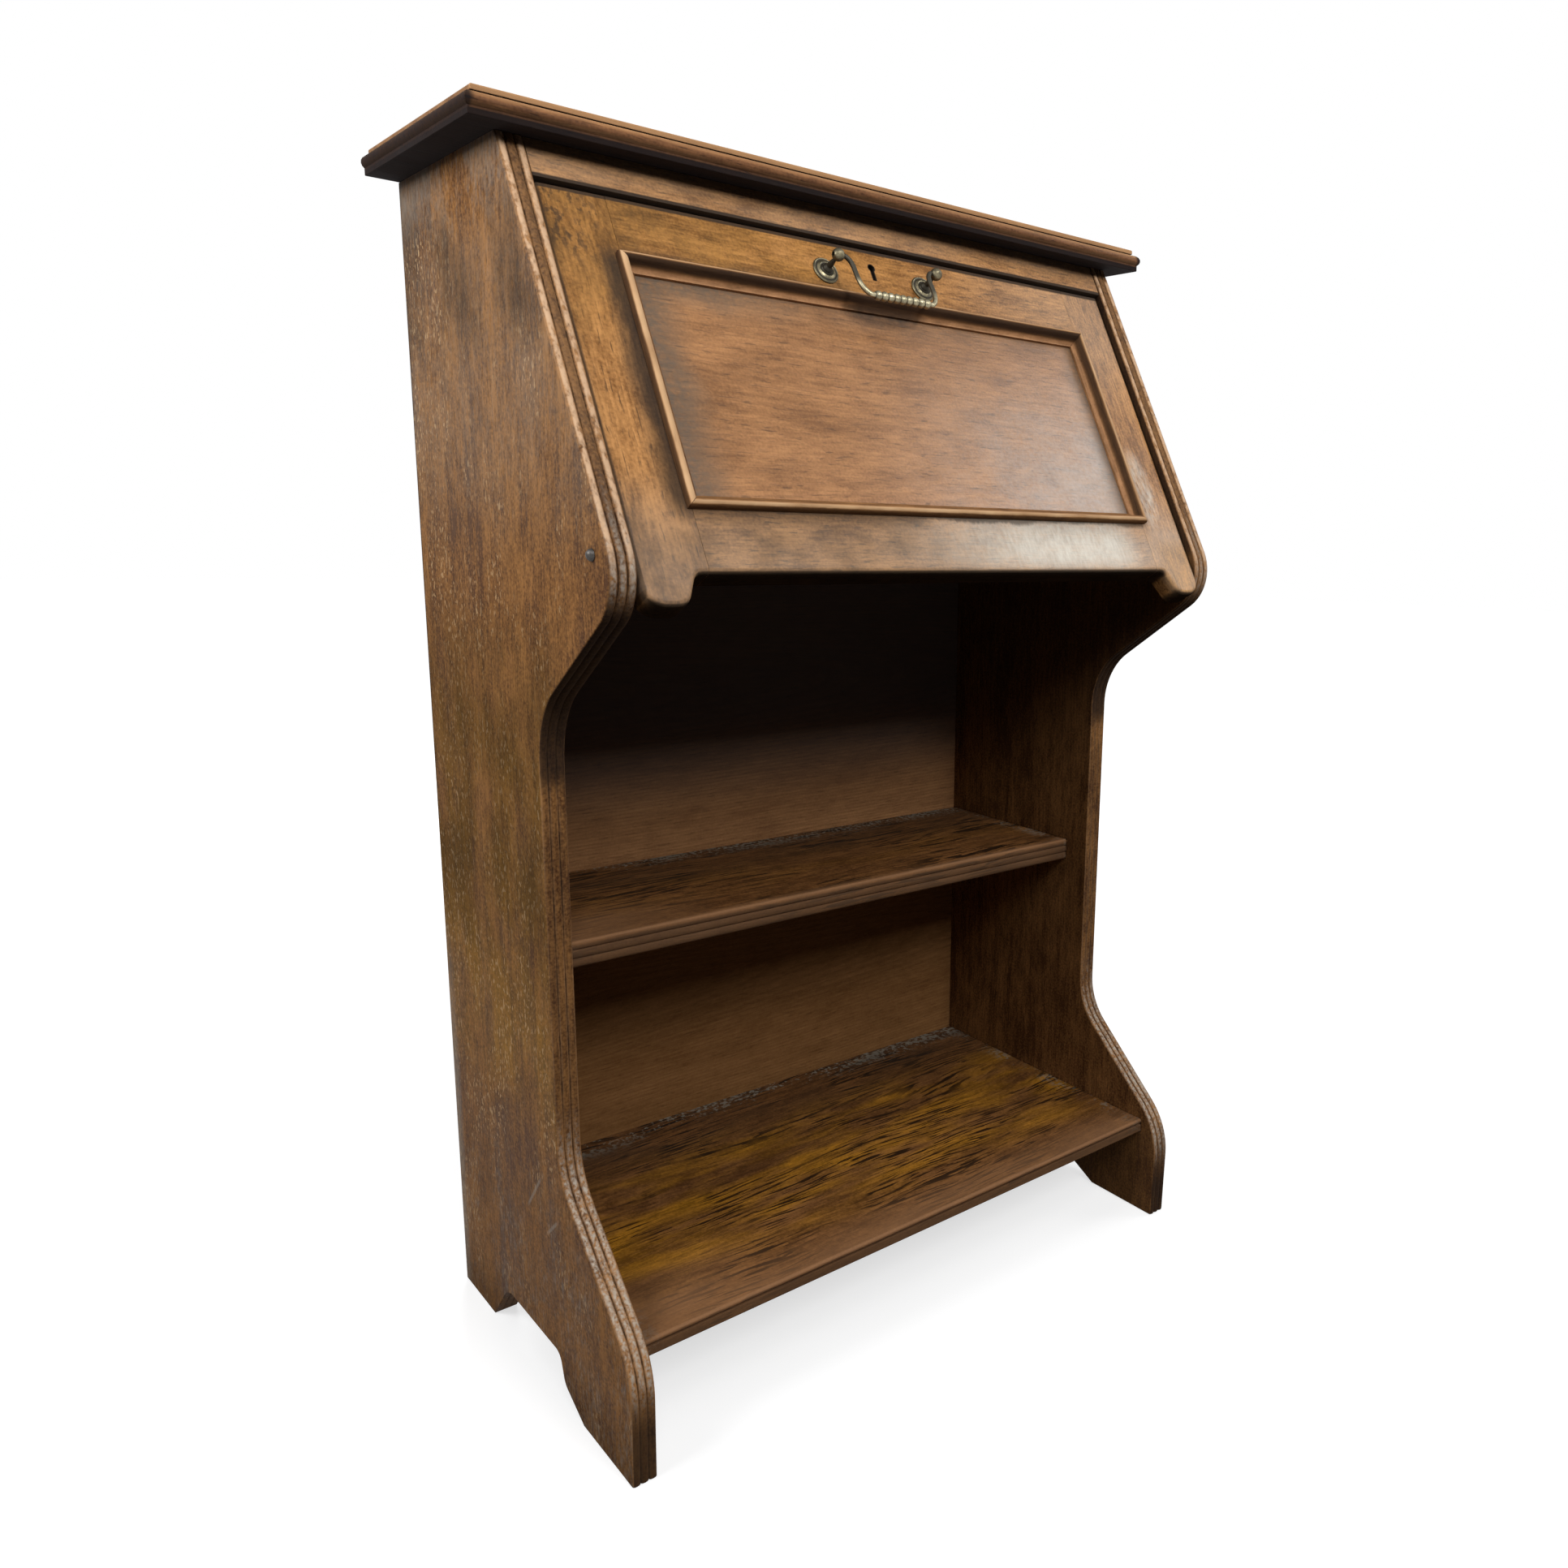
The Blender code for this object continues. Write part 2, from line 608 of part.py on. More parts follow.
def build_frieze(bureau, front_slope):
    """The rail under the top, the strip that stops the closed fall, the keeper and the corner blocks."""
    half = SIDE_INNER - FIT
    lean = tan(SLOPE)
    section = [
        (FRIEZE_RECESS, -FRIEZE_DROP),
        (FRIEZE_RECESS, FRIEZE_RECESS * lean),
        (FALL_REAR, FALL_REAR * lean),
        (FALL_REAR, -FRIEZE_DROP),
    ]
    rail = add_piece("frieze_rail", prism(section, -half, half), OAK_FALL, front_slope)
    (y0, z0), (y1, z1) = frieze_tenon(0)
    for hand in (-1, 1):
        ends = sorted((hand * (half - OVERRUN), hand * (SIDE_INNER + HOUSING - FIT)))
        join(rail, box((ends[0], y0, z0), (ends[1], y1, z1)), f"tenon_{hand + 1}")
    bolt_y = PIVOT_BEHIND + BOLT_AT
    keeper_x = KEEPER_WIDTH / 2 + FIT
    keeper_y = KEEPER_DEPTH / 2 + FIT
    keeper_top = -FRIEZE_DROP + KEEPER_THICKNESS
    low = (-keeper_x, bolt_y - keeper_y, -FRIEZE_DROP - OVERRUN)
    high = (keeper_x, bolt_y + keeper_y, keeper_top + FIT)
    cut(rail, box(low, high), "keeper_recess")
    slot_x = BOLT_WIDTH / 2 + BOLT_PLAY
    slot_y = BOLT_THICKNESS / 2 + BOLT_PLAY
    slot_top = -FRIEZE_DROP - FALL_TOP_GAP - BOLT_SETBACK + BOLT_TRAVEL + SWING_GAP
    slot = (-slot_x, bolt_y - slot_y, -FRIEZE_DROP - OVERRUN), (slot_x, bolt_y + slot_y, slot_top)
    cut(rail, box(*slot), "bolt_mortise")
    low = (FIT - keeper_x, bolt_y + FIT - keeper_y, -FRIEZE_DROP)
    high = (keeper_x - FIT, bolt_y + keeper_y - FIT, keeper_top)
    keeper = add_piece("lock_keeper", box(low, high), BRASS, front_slope)
    cut(keeper, box(*slot), "slot")

    low = (-half, FALL_REAR + FIT, -FRIEZE_DROP - STOP_LAP)
    high = (half, FALL_REAR + FIT + STOP_THICKNESS, STOP_RISE - FRIEZE_DROP)
    add_piece("fall_stop_strip", box(low, high), OAK_INSIDE, front_slope)
    rear = -BACK_FRONT - BLOCK_SETBACK
    for hand, name in ((-1, "left"), (1, "right")):
        xs = sorted((hand * (SIDE_INNER - FIT), hand * (SIDE_INNER - FIT - BLOCK_SIZE)))
        block = box((xs[0], rear - BLOCK_LENGTH, SIDE_HEIGHT - BLOCK_SIZE), (xs[1], rear, SIDE_HEIGHT))
        add_piece(f"top_block_{name}", block, OAK_INSIDE, bureau)


def build_pins(bureau):
    """The dome-headed pins that go through the sides into the fall's stiles."""
    length = SIDE_THICKNESS + SWING_GAP + PIN_BITE
    turns = [pi / 2 * k / ROUND_FACETS for k in range(ROUND_FACETS + 1)]
    dome = [(PIN_HEAD_RADIUS * sin(turn), FIT + PIN_HEAD_HEIGHT * cos(turn)) for turn in turns]
    profile = dome + [(PIN_RADIUS, FIT), (PIN_RADIUS, -length), (0, -length)]
    for hand, name in ((-1, "left"), (1, "right")):
        turn = Matrix.Rotation(hand * pi / 2, 4, "Y")
        place = (hand * SIDE_SPAN / 2, -PIVOT_DEPTH, PIVOT_HEIGHT)
        add_piece(f"pivot_pin_{name}", turned(profile, ROUND_SIDES, turn), IRON, bureau, place)


def rail_tenon(bottom, top, slack):
    """(low, high) corners in (y, z) of a fall rail's tenon, or with slack of its mortise."""
    return (GROOVE_NEAR - slack, bottom - slack), (GROOVE_FAR + slack, top + slack)


def fall_tenons():
    """Heights of the tenons on the fall's bottom and top rails."""
    return [
        (FALL_BOTTOM + TENON_SHOULDER, PANEL_BOTTOM - GROOVE_DEPTH - TENON_SHOULDER / 3),
        (PANEL_TOP + GROOVE_DEPTH + TENON_SHOULDER / 3, FALL_TOP - TENON_SHOULDER),
    ]


def build_stile(hand, pivot):
    """A stile with its rounded ear below the bottom rail; hand is -1 for the left one."""
    name = "fall_left_stile" if hand < 0 else "fall_right_stile"
    neck = PANEL_HALF + EAR_FLAT
    corners = [
        (FALL_HALF, FALL_TOP),
        (FALL_HALF, EAR_BOTTOM),
        (neck + EAR_SHOULDER, EAR_BOTTOM),
        (neck, FALL_BOTTOM),
        (PANEL_HALF, FALL_BOTTOM),
    ]
    edge = rounded(corners, [EAR_OUTER_RADIUS, EAR_INNER_RADIUS, EAR_NECK_RADIUS])
    loops = []
    for y, distance in edge_rounding() + [(FALL_BACK, 0)]:
        outline = inset(edge, distance) + [Vector((PANEL_HALF, FALL_TOP))]
        loops.append([(hand * point.x, y, point.y) for point in outline])
    stile = add_piece(name, loft(loops), OAK_FALL, pivot)

    open_x = hand * (PANEL_HALF - OVERRUN)
    groove_x = hand * (PANEL_HALF + GROOVE_DEPTH)
    low = (open_x, GROOVE_NEAR, PANEL_BOTTOM - GROOVE_DEPTH)
    high = (groove_x, GROOVE_FAR, PANEL_TOP + GROOVE_DEPTH)
    cut(stile, box(low, high), "groove")
    mortise_x = hand * (PANEL_HALF + TENON_LENGTH + FIT)
    for number, (bottom, top) in enumerate(fall_tenons()):
        (y0, z0), (y1, z1) = rail_tenon(bottom, top, FIT)
        cut(stile, box((open_x, y0, z0), (mortise_x, y1, z1)), f"mortise_{number}")
    ends = sorted((hand * (FALL_HALF + OVERRUN), hand * (FALL_HALF - PIN_BITE - FIT)))
    cut(stile, rod(PIN_RADIUS + PIN_CLEARANCE, ends[0], ends[1], ALONG_X), "pin_hole")


def keyhole(near, far):
    """A keyhole: a round eye over a straight slot, through the fall from near to far."""
    flare = asin(KEYHOLE_SLOT / 2 / KEYHOLE_RADIUS)
    outline = []
    for k in range(ROUND_SIDES + 1):
        turn = -pi / 2 + flare + (2 * pi - 2 * flare) * k / ROUND_SIDES
        outline.append((KEYHOLE_RADIUS * cos(turn), KEYHOLE_UP + KEYHOLE_RADIUS * sin(turn)))
    low = KEYHOLE_UP + KEYHOLE_RADIUS - KEYHOLE_HEIGHT
    outline += [(-KEYHOLE_SLOT / 2, low), (KEYHOLE_SLOT / 2, low)]
    return loft([[(x, y, z) for x, z in outline] for y in (near, far)])


def build_rails(pivot):
    """The fall's top and bottom rails, grooved for the panel and tenoned into the stiles."""
    half = PANEL_HALF - FIT
    lower_edge = [(y, FALL_BOTTOM + distance) for y, distance in reversed(edge_rounding())]
    groove = PANEL_BOTTOM - GROOVE_DEPTH
    bottom_section = [(FALL_BACK, PANEL_BOTTOM), (FALL_BACK, FALL_BOTTOM)] + lower_edge
    bottom_section += [(FALL_FACE, PANEL_BOTTOM), (GROOVE_NEAR, PANEL_BOTTOM), (GROOVE_NEAR, groove)]
    bottom_section += [(GROOVE_FAR, groove), (GROOVE_FAR, PANEL_BOTTOM)]
    groove = PANEL_TOP + GROOVE_DEPTH
    top_section = [(FALL_FACE, PANEL_TOP), (FALL_FACE, FALL_TOP), (FALL_BACK, FALL_TOP)]
    top_section += [(FALL_BACK, PANEL_TOP), (GROOVE_FAR, PANEL_TOP), (GROOVE_FAR, groove)]
    top_section += [(GROOVE_NEAR, groove), (GROOVE_NEAR, PANEL_TOP)]
    rails = []
    for name, section, heights in zip(("bottom", "top"), (bottom_section, top_section), fall_tenons()):
        rail = add_piece(f"fall_{name}_rail", prism(section, -half, half), OAK_FALL, pivot)
        (y0, z0), (y1, z1) = rail_tenon(*heights, 0)
        for hand in (-1, 1):
            ends = sorted((hand * (half - OVERRUN), hand * (PANEL_HALF + TENON_LENGTH)))
            join(rail, box((ends[0], y0, z0), (ends[1], y1, z1)), f"tenon_{hand + 1}")
        rails.append(rail)

    top_rail = rails[1]
    lock_x = LOCK_WIDTH / 2 + FIT
    pocket_near = FALL_BACK - LOCK_DEPTH - FIT
    low = (-lock_x, pocket_near, FALL_TOP - LOCK_HEIGHT - FIT)
    high = (lock_x, FALL_BACK + OVERRUN, FALL_TOP + OVERRUN)
    cut(top_rail, box(low, high), "lock_pocket")
    cut(top_rail, keyhole(FALL_FACE - OVERRUN, pocket_near + FIT), "keyhole")
    for hand in (-1, 1):
        place = (hand * HANDLE_SPAN / 2, 0, HANDLE_UP)
        hole = rod(POST_RADIUS + PIN_CLEARANCE, -FALL_BACK - OVERRUN, OVERRUN - FALL_FACE, OUTWARD, place)
        cut(top_rail, hole, f"post_hole_{hand + 1}")
        well = rod(NUT_RADIUS + SWING_GAP, -FALL_BACK - OVERRUN, NUT_POCKET - FALL_BACK, OUTWARD, place)
        cut(top_rail, well, f"nut_pocket_{hand + 1}")


def build_panel(pivot):
    """The panel: flush inside as the writing surface, with a tongue all round in the frame's groove."""
    tongue = GROOVE_DEPTH - FIT
    steps = [
        (PANEL_FRONT, -FIT),
        (GROOVE_NEAR + FIT, -FIT),
        (GROOVE_NEAR + FIT, tongue),
        (GROOVE_FAR - FIT, tongue),
        (GROOVE_FAR - FIT, -FIT),
        (FALL_BACK - PANEL_SETBACK, -FIT),
    ]
    loops = []
    for y, grow in steps:
        x = PANEL_HALF + grow
        low = PANEL_BOTTOM - grow
        high = PANEL_TOP + grow
        loops.append([(-x, y, low), (x, y, low), (x, y, high), (-x, y, high)])
    add_piece("fall_panel", loft(loops), OAK_FALL, pivot)


def moulding_section():
    """(across, rise) of the moulding: across from the frame's inner edge, rise from the fall's face."""
    bead_across = MOULDING_LAP - MOULDING_BEAD
    bead_rise = MOULDING_RISE - MOULDING_BEAD
    section = [(-FIT, FIT), (MOULDING_LAP, FIT)]
    for k in range(BEAD_FACETS + 1):
        turn = pi * k / BEAD_FACETS
        section.append((bead_across + MOULDING_BEAD * cos(turn), bead_rise + MOULDING_BEAD * sin(turn)))
    seat = FIT + FALL_FACE - PANEL_FRONT
    toe = seat + MOULDING_TOE
    start = bead_across - MOULDING_BEAD
    for k in range(1, BEAD_FACETS + 1):
        left = 1 - sin(pi / 2 * k / BEAD_FACETS)
        across = -MOULDING_REACH + (start + MOULDING_REACH) * left
        section.append((across, toe + (bead_rise - toe) * left ** 2))
    section += [(-MOULDING_REACH, seat), (-FIT, seat)]
    return section


def build_mouldings(pivot):
    """Four mitred lengths of bead-and-hollow moulding that lap the frame and bear on the panel."""
    section = moulding_section()
    middle = (PANEL_BOTTOM + PANEL_TOP) / 2
    half_height = (PANEL_TOP - PANEL_BOTTOM) / 2
    for name, way in (("left", -1), ("right", 1)):
        ends = [[], []]
        for across, rise in section:
            x = way * (PANEL_HALF + across)
            reach = half_height + across - MITRE_GAP
            for end, hand in zip(ends, (-1, 1)):
                end.append((x, FALL_FACE - rise, middle + hand * reach))
        add_piece(f"panel_moulding_{name}", loft(ends), OAK_FALL, pivot)
    for name, way in (("bottom", -1), ("top", 1)):
        ends = [[], []]
        for across, rise in section:
            z = middle + way * (half_height + across)
            reach = PANEL_HALF + across - MITRE_GAP
            for end, hand in zip(ends, (-1, 1)):
                end.append((hand * reach, FALL_FACE - rise, z))
        add_piece(f"panel_moulding_{name}", loft(ends), OAK_FALL, pivot)


def build_handle_mounts(pivot):
    """The turned roses, the posts with their eyes, and the nuts let into the inside of the fall."""
    bore = POST_RADIUS + PIN_CLEARANCE
    rose = [(bore, FIT)]
    rose += [(out * ROSE_RADIUS / WHOLE, max(FIT, up * ROSE_HEIGHT / WHOLE)) for out, up in ROSE_SHAPE]
    rose.append((bore, ROSE_HEIGHT))
    collar = ROSE_HEIGHT + FIT
    foot = NUT_POCKET - FALL_THICKNESS - NUT_HEIGHT - SWING_GAP
    ball = [
        (POST_BALL * sin(turn), BAIL_STANDOFF - POST_BALL * cos(turn))
        for turn in (pi * k / ARC_FACETS for k in range(1, ARC_FACETS - 1))
    ]
    waist = (collar + BAIL_STANDOFF - POST_BALL) / 2
    post = [(0, foot), (POST_RADIUS, foot), (POST_RADIUS, collar), (POST_COLLAR, collar)]
    post += [(POST_COLLAR_TOP, collar + POST_NECK / 3), (POST_NECK, collar + POST_NECK), (POST_NECK, waist)]
    post += ball + [(POST_FINIAL, BAIL_STANDOFF + POST_FINIAL_RISE), (0, BAIL_STANDOFF + POST_TIP)]
    nut_low = NUT_POCKET - FALL_THICKNESS - FIT - NUT_HEIGHT
    nut_bore = (POST_RADIUS + PIN_CLEARANCE) / cos(pi / NUT_SIDES)
    nut_top = nut_low + NUT_HEIGHT
    nut = [(nut_bore, nut_low), (NUT_RADIUS, nut_low), (NUT_RADIUS, nut_top), (nut_bore, nut_top)]
    for hand, name in ((-1, "left"), (1, "right")):
        place = (hand * HANDLE_SPAN / 2, FALL_FACE, HANDLE_UP)
        add_piece(f"handle_rose_{name}", turned(rose, ROUND_SIDES, OUTWARD, ring=True), BRASS, pivot, place)
        stem = add_piece(f"handle_post_{name}", turned(post, ROUND_SIDES, OUTWARD), BRASS, pivot, place)
        eye = rod(BAIL_PIN + EYE_CLEARANCE, -2 * POST_BALL, 2 * POST_BALL, ALONG_X, (0, -BAIL_STANDOFF, 0))
        cut(stem, eye, "eye")
        add_piece(f"handle_nut_{name}", turned(nut, NUT_SIDES, OUTWARD, ring=True), BRASS, pivot, place)


def smooth_path(points, steps):
    """Points on a smooth curve through the given ones."""
    ends = [2 * points[0] - points[1], *points, 2 * points[-1] - points[-2]]
    path = []
    for a, b, c, d in zip(ends, ends[1:], ends[2:], ends[3:]):
        for k in range(steps):
            t = k / steps
            bend = (2 * a - 5 * b + 4 * c - d) * t ** 2 + (3 * b - a - 3 * c + d) * t ** 3
            path.append(b + ((c - a) * t + bend) / 2)
    return path + [points[-1]]


def bail_path():
    """The swan-neck bail's centre line in its hinge's frame, from the left pin to the right one."""
    post = HANDLE_SPAN / 2
    neck = post - BAIL_SHOULDER
    half = [(post + POST_BALL / 2, 0), (BAIL_PIN_INNER, 0)]
    half += [(neck - inward * BAIL_SHOULDER / WHOLE, down * BAIL_DROP / WHOLE) for inward, down in BAIL_BEND]
    half.append((BAIL_GRIP_HALF, BAIL_DROP))
    bends = [Vector((-x, -BAIL_BOW * drop / BAIL_DROP, -drop)) for x, drop in half]
    left = bends[:1] + smooth_path(bends, BAIL_STEPS)[BAIL_STEPS:]  # the pin stays straight in its eye
    right = [Vector((-point.x, point.y, point.z)) for point in reversed(left)]
    steps = BAIL_BEADS * BAIL_BEAD_STEPS
    grip = [left[-1].lerp(right[0], k / steps) for k in range(1, steps)]
    return left, grip, right


def build_bail(hinge):
    """The bail: a tube with pins at its ends, slim arms and a grip worked as a row of beads."""
    left, grip, right = bail_path()

    def arm_radius(point):
        """The pins, the arms and the swell towards the grip."""
        if abs(point.x) > BAIL_PIN_INNER - FIT:
            return BAIL_PIN
        return BAIL_ARM + (BAIL_GRIP - BAIL_ARM) * (point.z / BAIL_DROP) ** 2

    beads = [BAIL_GRIP + BAIL_BEAD * abs(sin(pi * k / BAIL_BEAD_STEPS)) for k in range(1, len(grip) + 1)]
    radii = [arm_radius(p) for p in left] + beads + [arm_radius(p) for p in right]
    path = left + grip + right
    loops = []
    for i, (centre, radius) in enumerate(zip(path, radii)):
        ahead = path[min(i + 1, len(path) - 1)] - path[max(i - 1, 0)]
        side = ahead.cross(Vector((0, 1, 0))).normalized()
        up = side.cross(ahead).normalized()
        loop = []
        for k in range(BAIL_SIDES):
            turn = 2 * pi * k / BAIL_SIDES
            loop.append(centre + radius * (cos(turn) * side + sin(turn) * up))
        loops.append(loop)
    add_piece("handle_bail", loft(loops), BRASS, hinge)


def build_lock(pivot, slide):
    """The lock case, flush with the fall's top edge and inner face, and its sliding bolt."""
    half = LOCK_WIDTH / 2
    near = FALL_BACK - LOCK_DEPTH
    block = box((-half, near, FALL_TOP - LOCK_HEIGHT), (half, FALL_BACK, FALL_TOP))
    case = add_piece("lock_case", block, BRASS, pivot)
    bolt_x = BOLT_WIDTH / 2
    bolt_y = BOLT_THICKNESS / 2
    low = (-bolt_x - FIT, BOLT_AT - bolt_y - FIT, FALL_TOP - BOLT_SETBACK - BOLT_LENGTH - FIT)
    high = (bolt_x + FIT, BOLT_AT + bolt_y + FIT, FALL_TOP + OVERRUN)
    cut(case, box(low, high), "bolt_way")
    cut(case, keyhole(near - OVERRUN, near + KEYHOLE_BITE), "keyhole")
    bolt = box((-bolt_x, -bolt_y, -BOLT_LENGTH), (bolt_x, bolt_y, 0))
    add_piece("lock_bolt", bolt, BRASS, slide)


def main():
    """Builds the bureau: the carcase, then the fall and what it carries."""
    clear_scene()
    bureau = add_empty("bureau", location=(0, overall_depth() / 2, 0))
    front_slope = add_empty("front_slope", bureau, (0, -SIDE_TOP_DEPTH, SIDE_HEIGHT), -SLOPE)
    fall_pivot = add_empty("fall_pivot", bureau, (0, -PIVOT_DEPTH, PIVOT_HEIGHT), -SLOPE)
    bail_hinge = add_empty("bail_hinge", fall_pivot, (0, FALL_FACE - BAIL_STANDOFF, HANDLE_UP))
    bolt_slide = add_empty("bolt_slide", fall_pivot, (0, BOLT_AT, FALL_TOP - BOLT_SETBACK))
    bpy.context.view_layer.update()
    for hand in (-1, 1):
        build_side(hand, bureau, front_slope)
    build_top_board(bureau)
    build_shelves(bureau)
    build_back(bureau)
    build_pigeonholes(bureau)
    build_frieze(bureau, front_slope)
    build_pins(bureau)
    for hand in (-1, 1):
        build_stile(hand, fall_pivot)
    build_rails(fall_pivot)
    build_panel(fall_pivot)
    build_mouldings(fall_pivot)
    build_handle_mounts(fall_pivot)
    build_lock(fall_pivot, bolt_slide)
    build_bail(bail_hinge)


main()
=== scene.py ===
"""The looks of an oak student's bureau: its finishes, fixings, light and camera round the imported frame."""
import json
import logging
import math
from collections.abc import Callable
from dataclasses import dataclass, field, replace
from enum import Enum
from functools import cached_property, partial

import bmesh
import bpy
from bpy.types import ID, Material, Mesh, NodeSocket, NodeTree, Object
from mathutils import Matrix, Vector


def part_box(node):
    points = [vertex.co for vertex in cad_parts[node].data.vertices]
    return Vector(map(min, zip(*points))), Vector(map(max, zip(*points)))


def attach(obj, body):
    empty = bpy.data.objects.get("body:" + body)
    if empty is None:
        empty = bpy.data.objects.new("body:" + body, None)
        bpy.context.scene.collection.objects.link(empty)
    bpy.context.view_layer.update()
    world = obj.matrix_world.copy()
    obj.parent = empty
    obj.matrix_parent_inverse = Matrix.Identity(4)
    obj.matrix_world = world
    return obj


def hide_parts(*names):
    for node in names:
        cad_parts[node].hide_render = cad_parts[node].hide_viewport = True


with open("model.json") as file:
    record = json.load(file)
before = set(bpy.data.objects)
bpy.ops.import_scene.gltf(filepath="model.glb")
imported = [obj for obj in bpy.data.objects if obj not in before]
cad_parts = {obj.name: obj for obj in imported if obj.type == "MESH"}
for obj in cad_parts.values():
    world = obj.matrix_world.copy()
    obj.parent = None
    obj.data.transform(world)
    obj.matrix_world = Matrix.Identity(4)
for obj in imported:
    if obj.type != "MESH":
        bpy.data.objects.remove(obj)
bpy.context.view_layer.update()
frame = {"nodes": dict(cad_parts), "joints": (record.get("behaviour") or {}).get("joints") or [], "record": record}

LOG = logging.getLogger("bureau")

# A vector, a linear colour, the two ends of a soft step and the four stops of a soft band
Triple = tuple[float, float, float]
Colour = Triple
Ramp = tuple[float, float]
Zone = tuple[float, float, float, float]

# What the frame says of its joints, bodies and slots
JOINTS = {joint["name"]: joint for joint in frame["joints"]}
BODY_OF = {node: body for body, nodes in frame["record"]["behaviour"]["bodies"].items() for node in nodes}
SLOT_OF = {part["node"]: part["material_slot"] for part in frame["record"]["subparts"]}
PIVOT = Vector(JOINTS["fall_hinge"]["pos_m"])
BAIL_AXIS = Vector(JOINTS["bail_hinge"]["pos_m"])
ALONG_X = (1.0, 0.0, 0.0)
UP_SLOPE = tuple(JOINTS["bolt_slide"]["axis"])
OUT_OF_SLOPE = (0.0, -UP_SLOPE[2], UP_SLOPE[1])
INTO_SLOPE = (0.0, UP_SLOPE[2], -UP_SLOPE[1])

# How far one step of a seed moves a noise along its axes
SEED_STEP = (1.7, 3.1, 2.3)


class Lie(Enum):
    """How a board's grain lies in the bureau: along it, across its width and through its thickness."""

    FLAT = (ALONG_X, (0.0, 1.0, 0.0), (0.0, 0.0, 1.0))
    BACK = (ALONG_X, (0.0, 0.0, 1.0), (0.0, -1.0, 0.0))
    SIDE = ((0.0, 0.0, 1.0), (0.0, 1.0, 0.0), (-1.0, 0.0, 0.0))
    DEEP = ((0.0, 1.0, 0.0), (0.0, 0.0, 1.0), ALONG_X)
    FALL_RAIL = (ALONG_X, UP_SLOPE, OUT_OF_SLOPE)
    FALL_STILE = (UP_SLOPE, ALONG_X, INTO_SLOPE)


class Graph:
    """A node tree that is being built."""

    def __init__(self, tree: NodeTree) -> None:
        """Keeps the tree that the nodes go into."""
        self.tree = tree

    def node(self, kind: str, settings: dict | None = None, sockets: dict | None = None,
             out: int | str = 0) -> "Value":
        """Adds one node.

        Args:
            kind: The node's type.
            settings: Properties of the node, which are set first.
            sockets: Values or links of its inputs, by name or number.
            out: The output that is wanted, by name or number.

        Returns:
            The wanted output.
        """
        made = self.tree.nodes.new(kind)
        for name, value in (settings or {}).items():
            setattr(made, name, value)
        for key, value in (sockets or {}).items():
            target = made.inputs[key]
            if isinstance(value, Value):
                self.tree.links.new(value.socket, target)
            elif target.type == "RGBA" and len(value) == 3:
                target.default_value = (*value, 1.0)
            else:
                target.default_value = value
        return Value(self, made.outputs[out] if made.outputs else None)

    def math(self, operation: str, *terms: "Value | float") -> "Value":
        """Adds a Math node on its terms."""
        return self.node("ShaderNodeMath", {"operation": operation}, dict(enumerate(terms)))

    def mix(self, share: "Value | float", first: "Value | Colour", second: "Value | Colour") -> "Value":
        """Lays a share of the second colour over the first."""
        return self.node("ShaderNodeMix", {"data_type": "RGBA"}, {0: share, 6: first, 7: second}, 2)

    def split(self, vector: "Value") -> tuple["Value", ...]:
        """The three parts of a vector."""
        parts = self.node("ShaderNodeSeparateXYZ", sockets={0: vector}).socket.node.outputs
        return tuple(Value(self, part) for part in parts)


def operator(operation: str, swapped: bool = False) -> Callable[..., "Value"]:
    """Makes a method that adds a Math node for each further term, or one on the value alone.

    Args:
        operation: The nodes' operation.
        swapped: Whether the further term comes first, as in a reflected operator.

    Returns:
        The method.
    """
    def method(self: "Value", *others: "Value | float") -> "Value":
        """Works on the value with each further term in turn.

        Args:
            others: The further terms.

        Returns:
            The last node's value.
        """
        result = self if others else self.graph.math(operation, self)
        for other in others:
            result = self.graph.math(operation, *((other, result) if swapped else (result, other)))
        return result

    return method


@dataclass(frozen=True)
class Value:
    """A socket that takes part in Python expressions, each of which adds its Math nodes."""

    graph: Graph
    socket: NodeSocket | None

    __add__ = __radd__ = operator("ADD")
    __mul__ = __rmul__ = operator("MULTIPLY")
    __sub__, __rsub__ = operator("SUBTRACT"), operator("SUBTRACT", swapped=True)
    __truediv__, __rtruediv__ = operator("DIVIDE"), operator("DIVIDE", swapped=True)
    __pow__, __abs__ = operator("POWER"), operator("ABSOLUTE")
    most, least, above = operator("MAXIMUM"), operator("MINIMUM"), operator("GREATER_THAN")
    fraction, sine = operator("FRACT"), operator("SINE")

    def smooth(self, start: float, end: float) -> "Value":
        """A soft step from 0 at start to 1 at end, which may lie below start."""
        sockets = {0: self, 1: start, 2: end, 3: 0.0, 4: 1.0}
        return self.graph.node("ShaderNodeMapRange", {"interpolation_type": "SMOOTHSTEP"}, sockets)

    def band(self, start: float, full: float, ebb: float, end: float) -> "Value":
        """A soft band that rises from start to full and falls from ebb to end."""
        return self.smooth(start, full) * self.smooth(end, ebb)


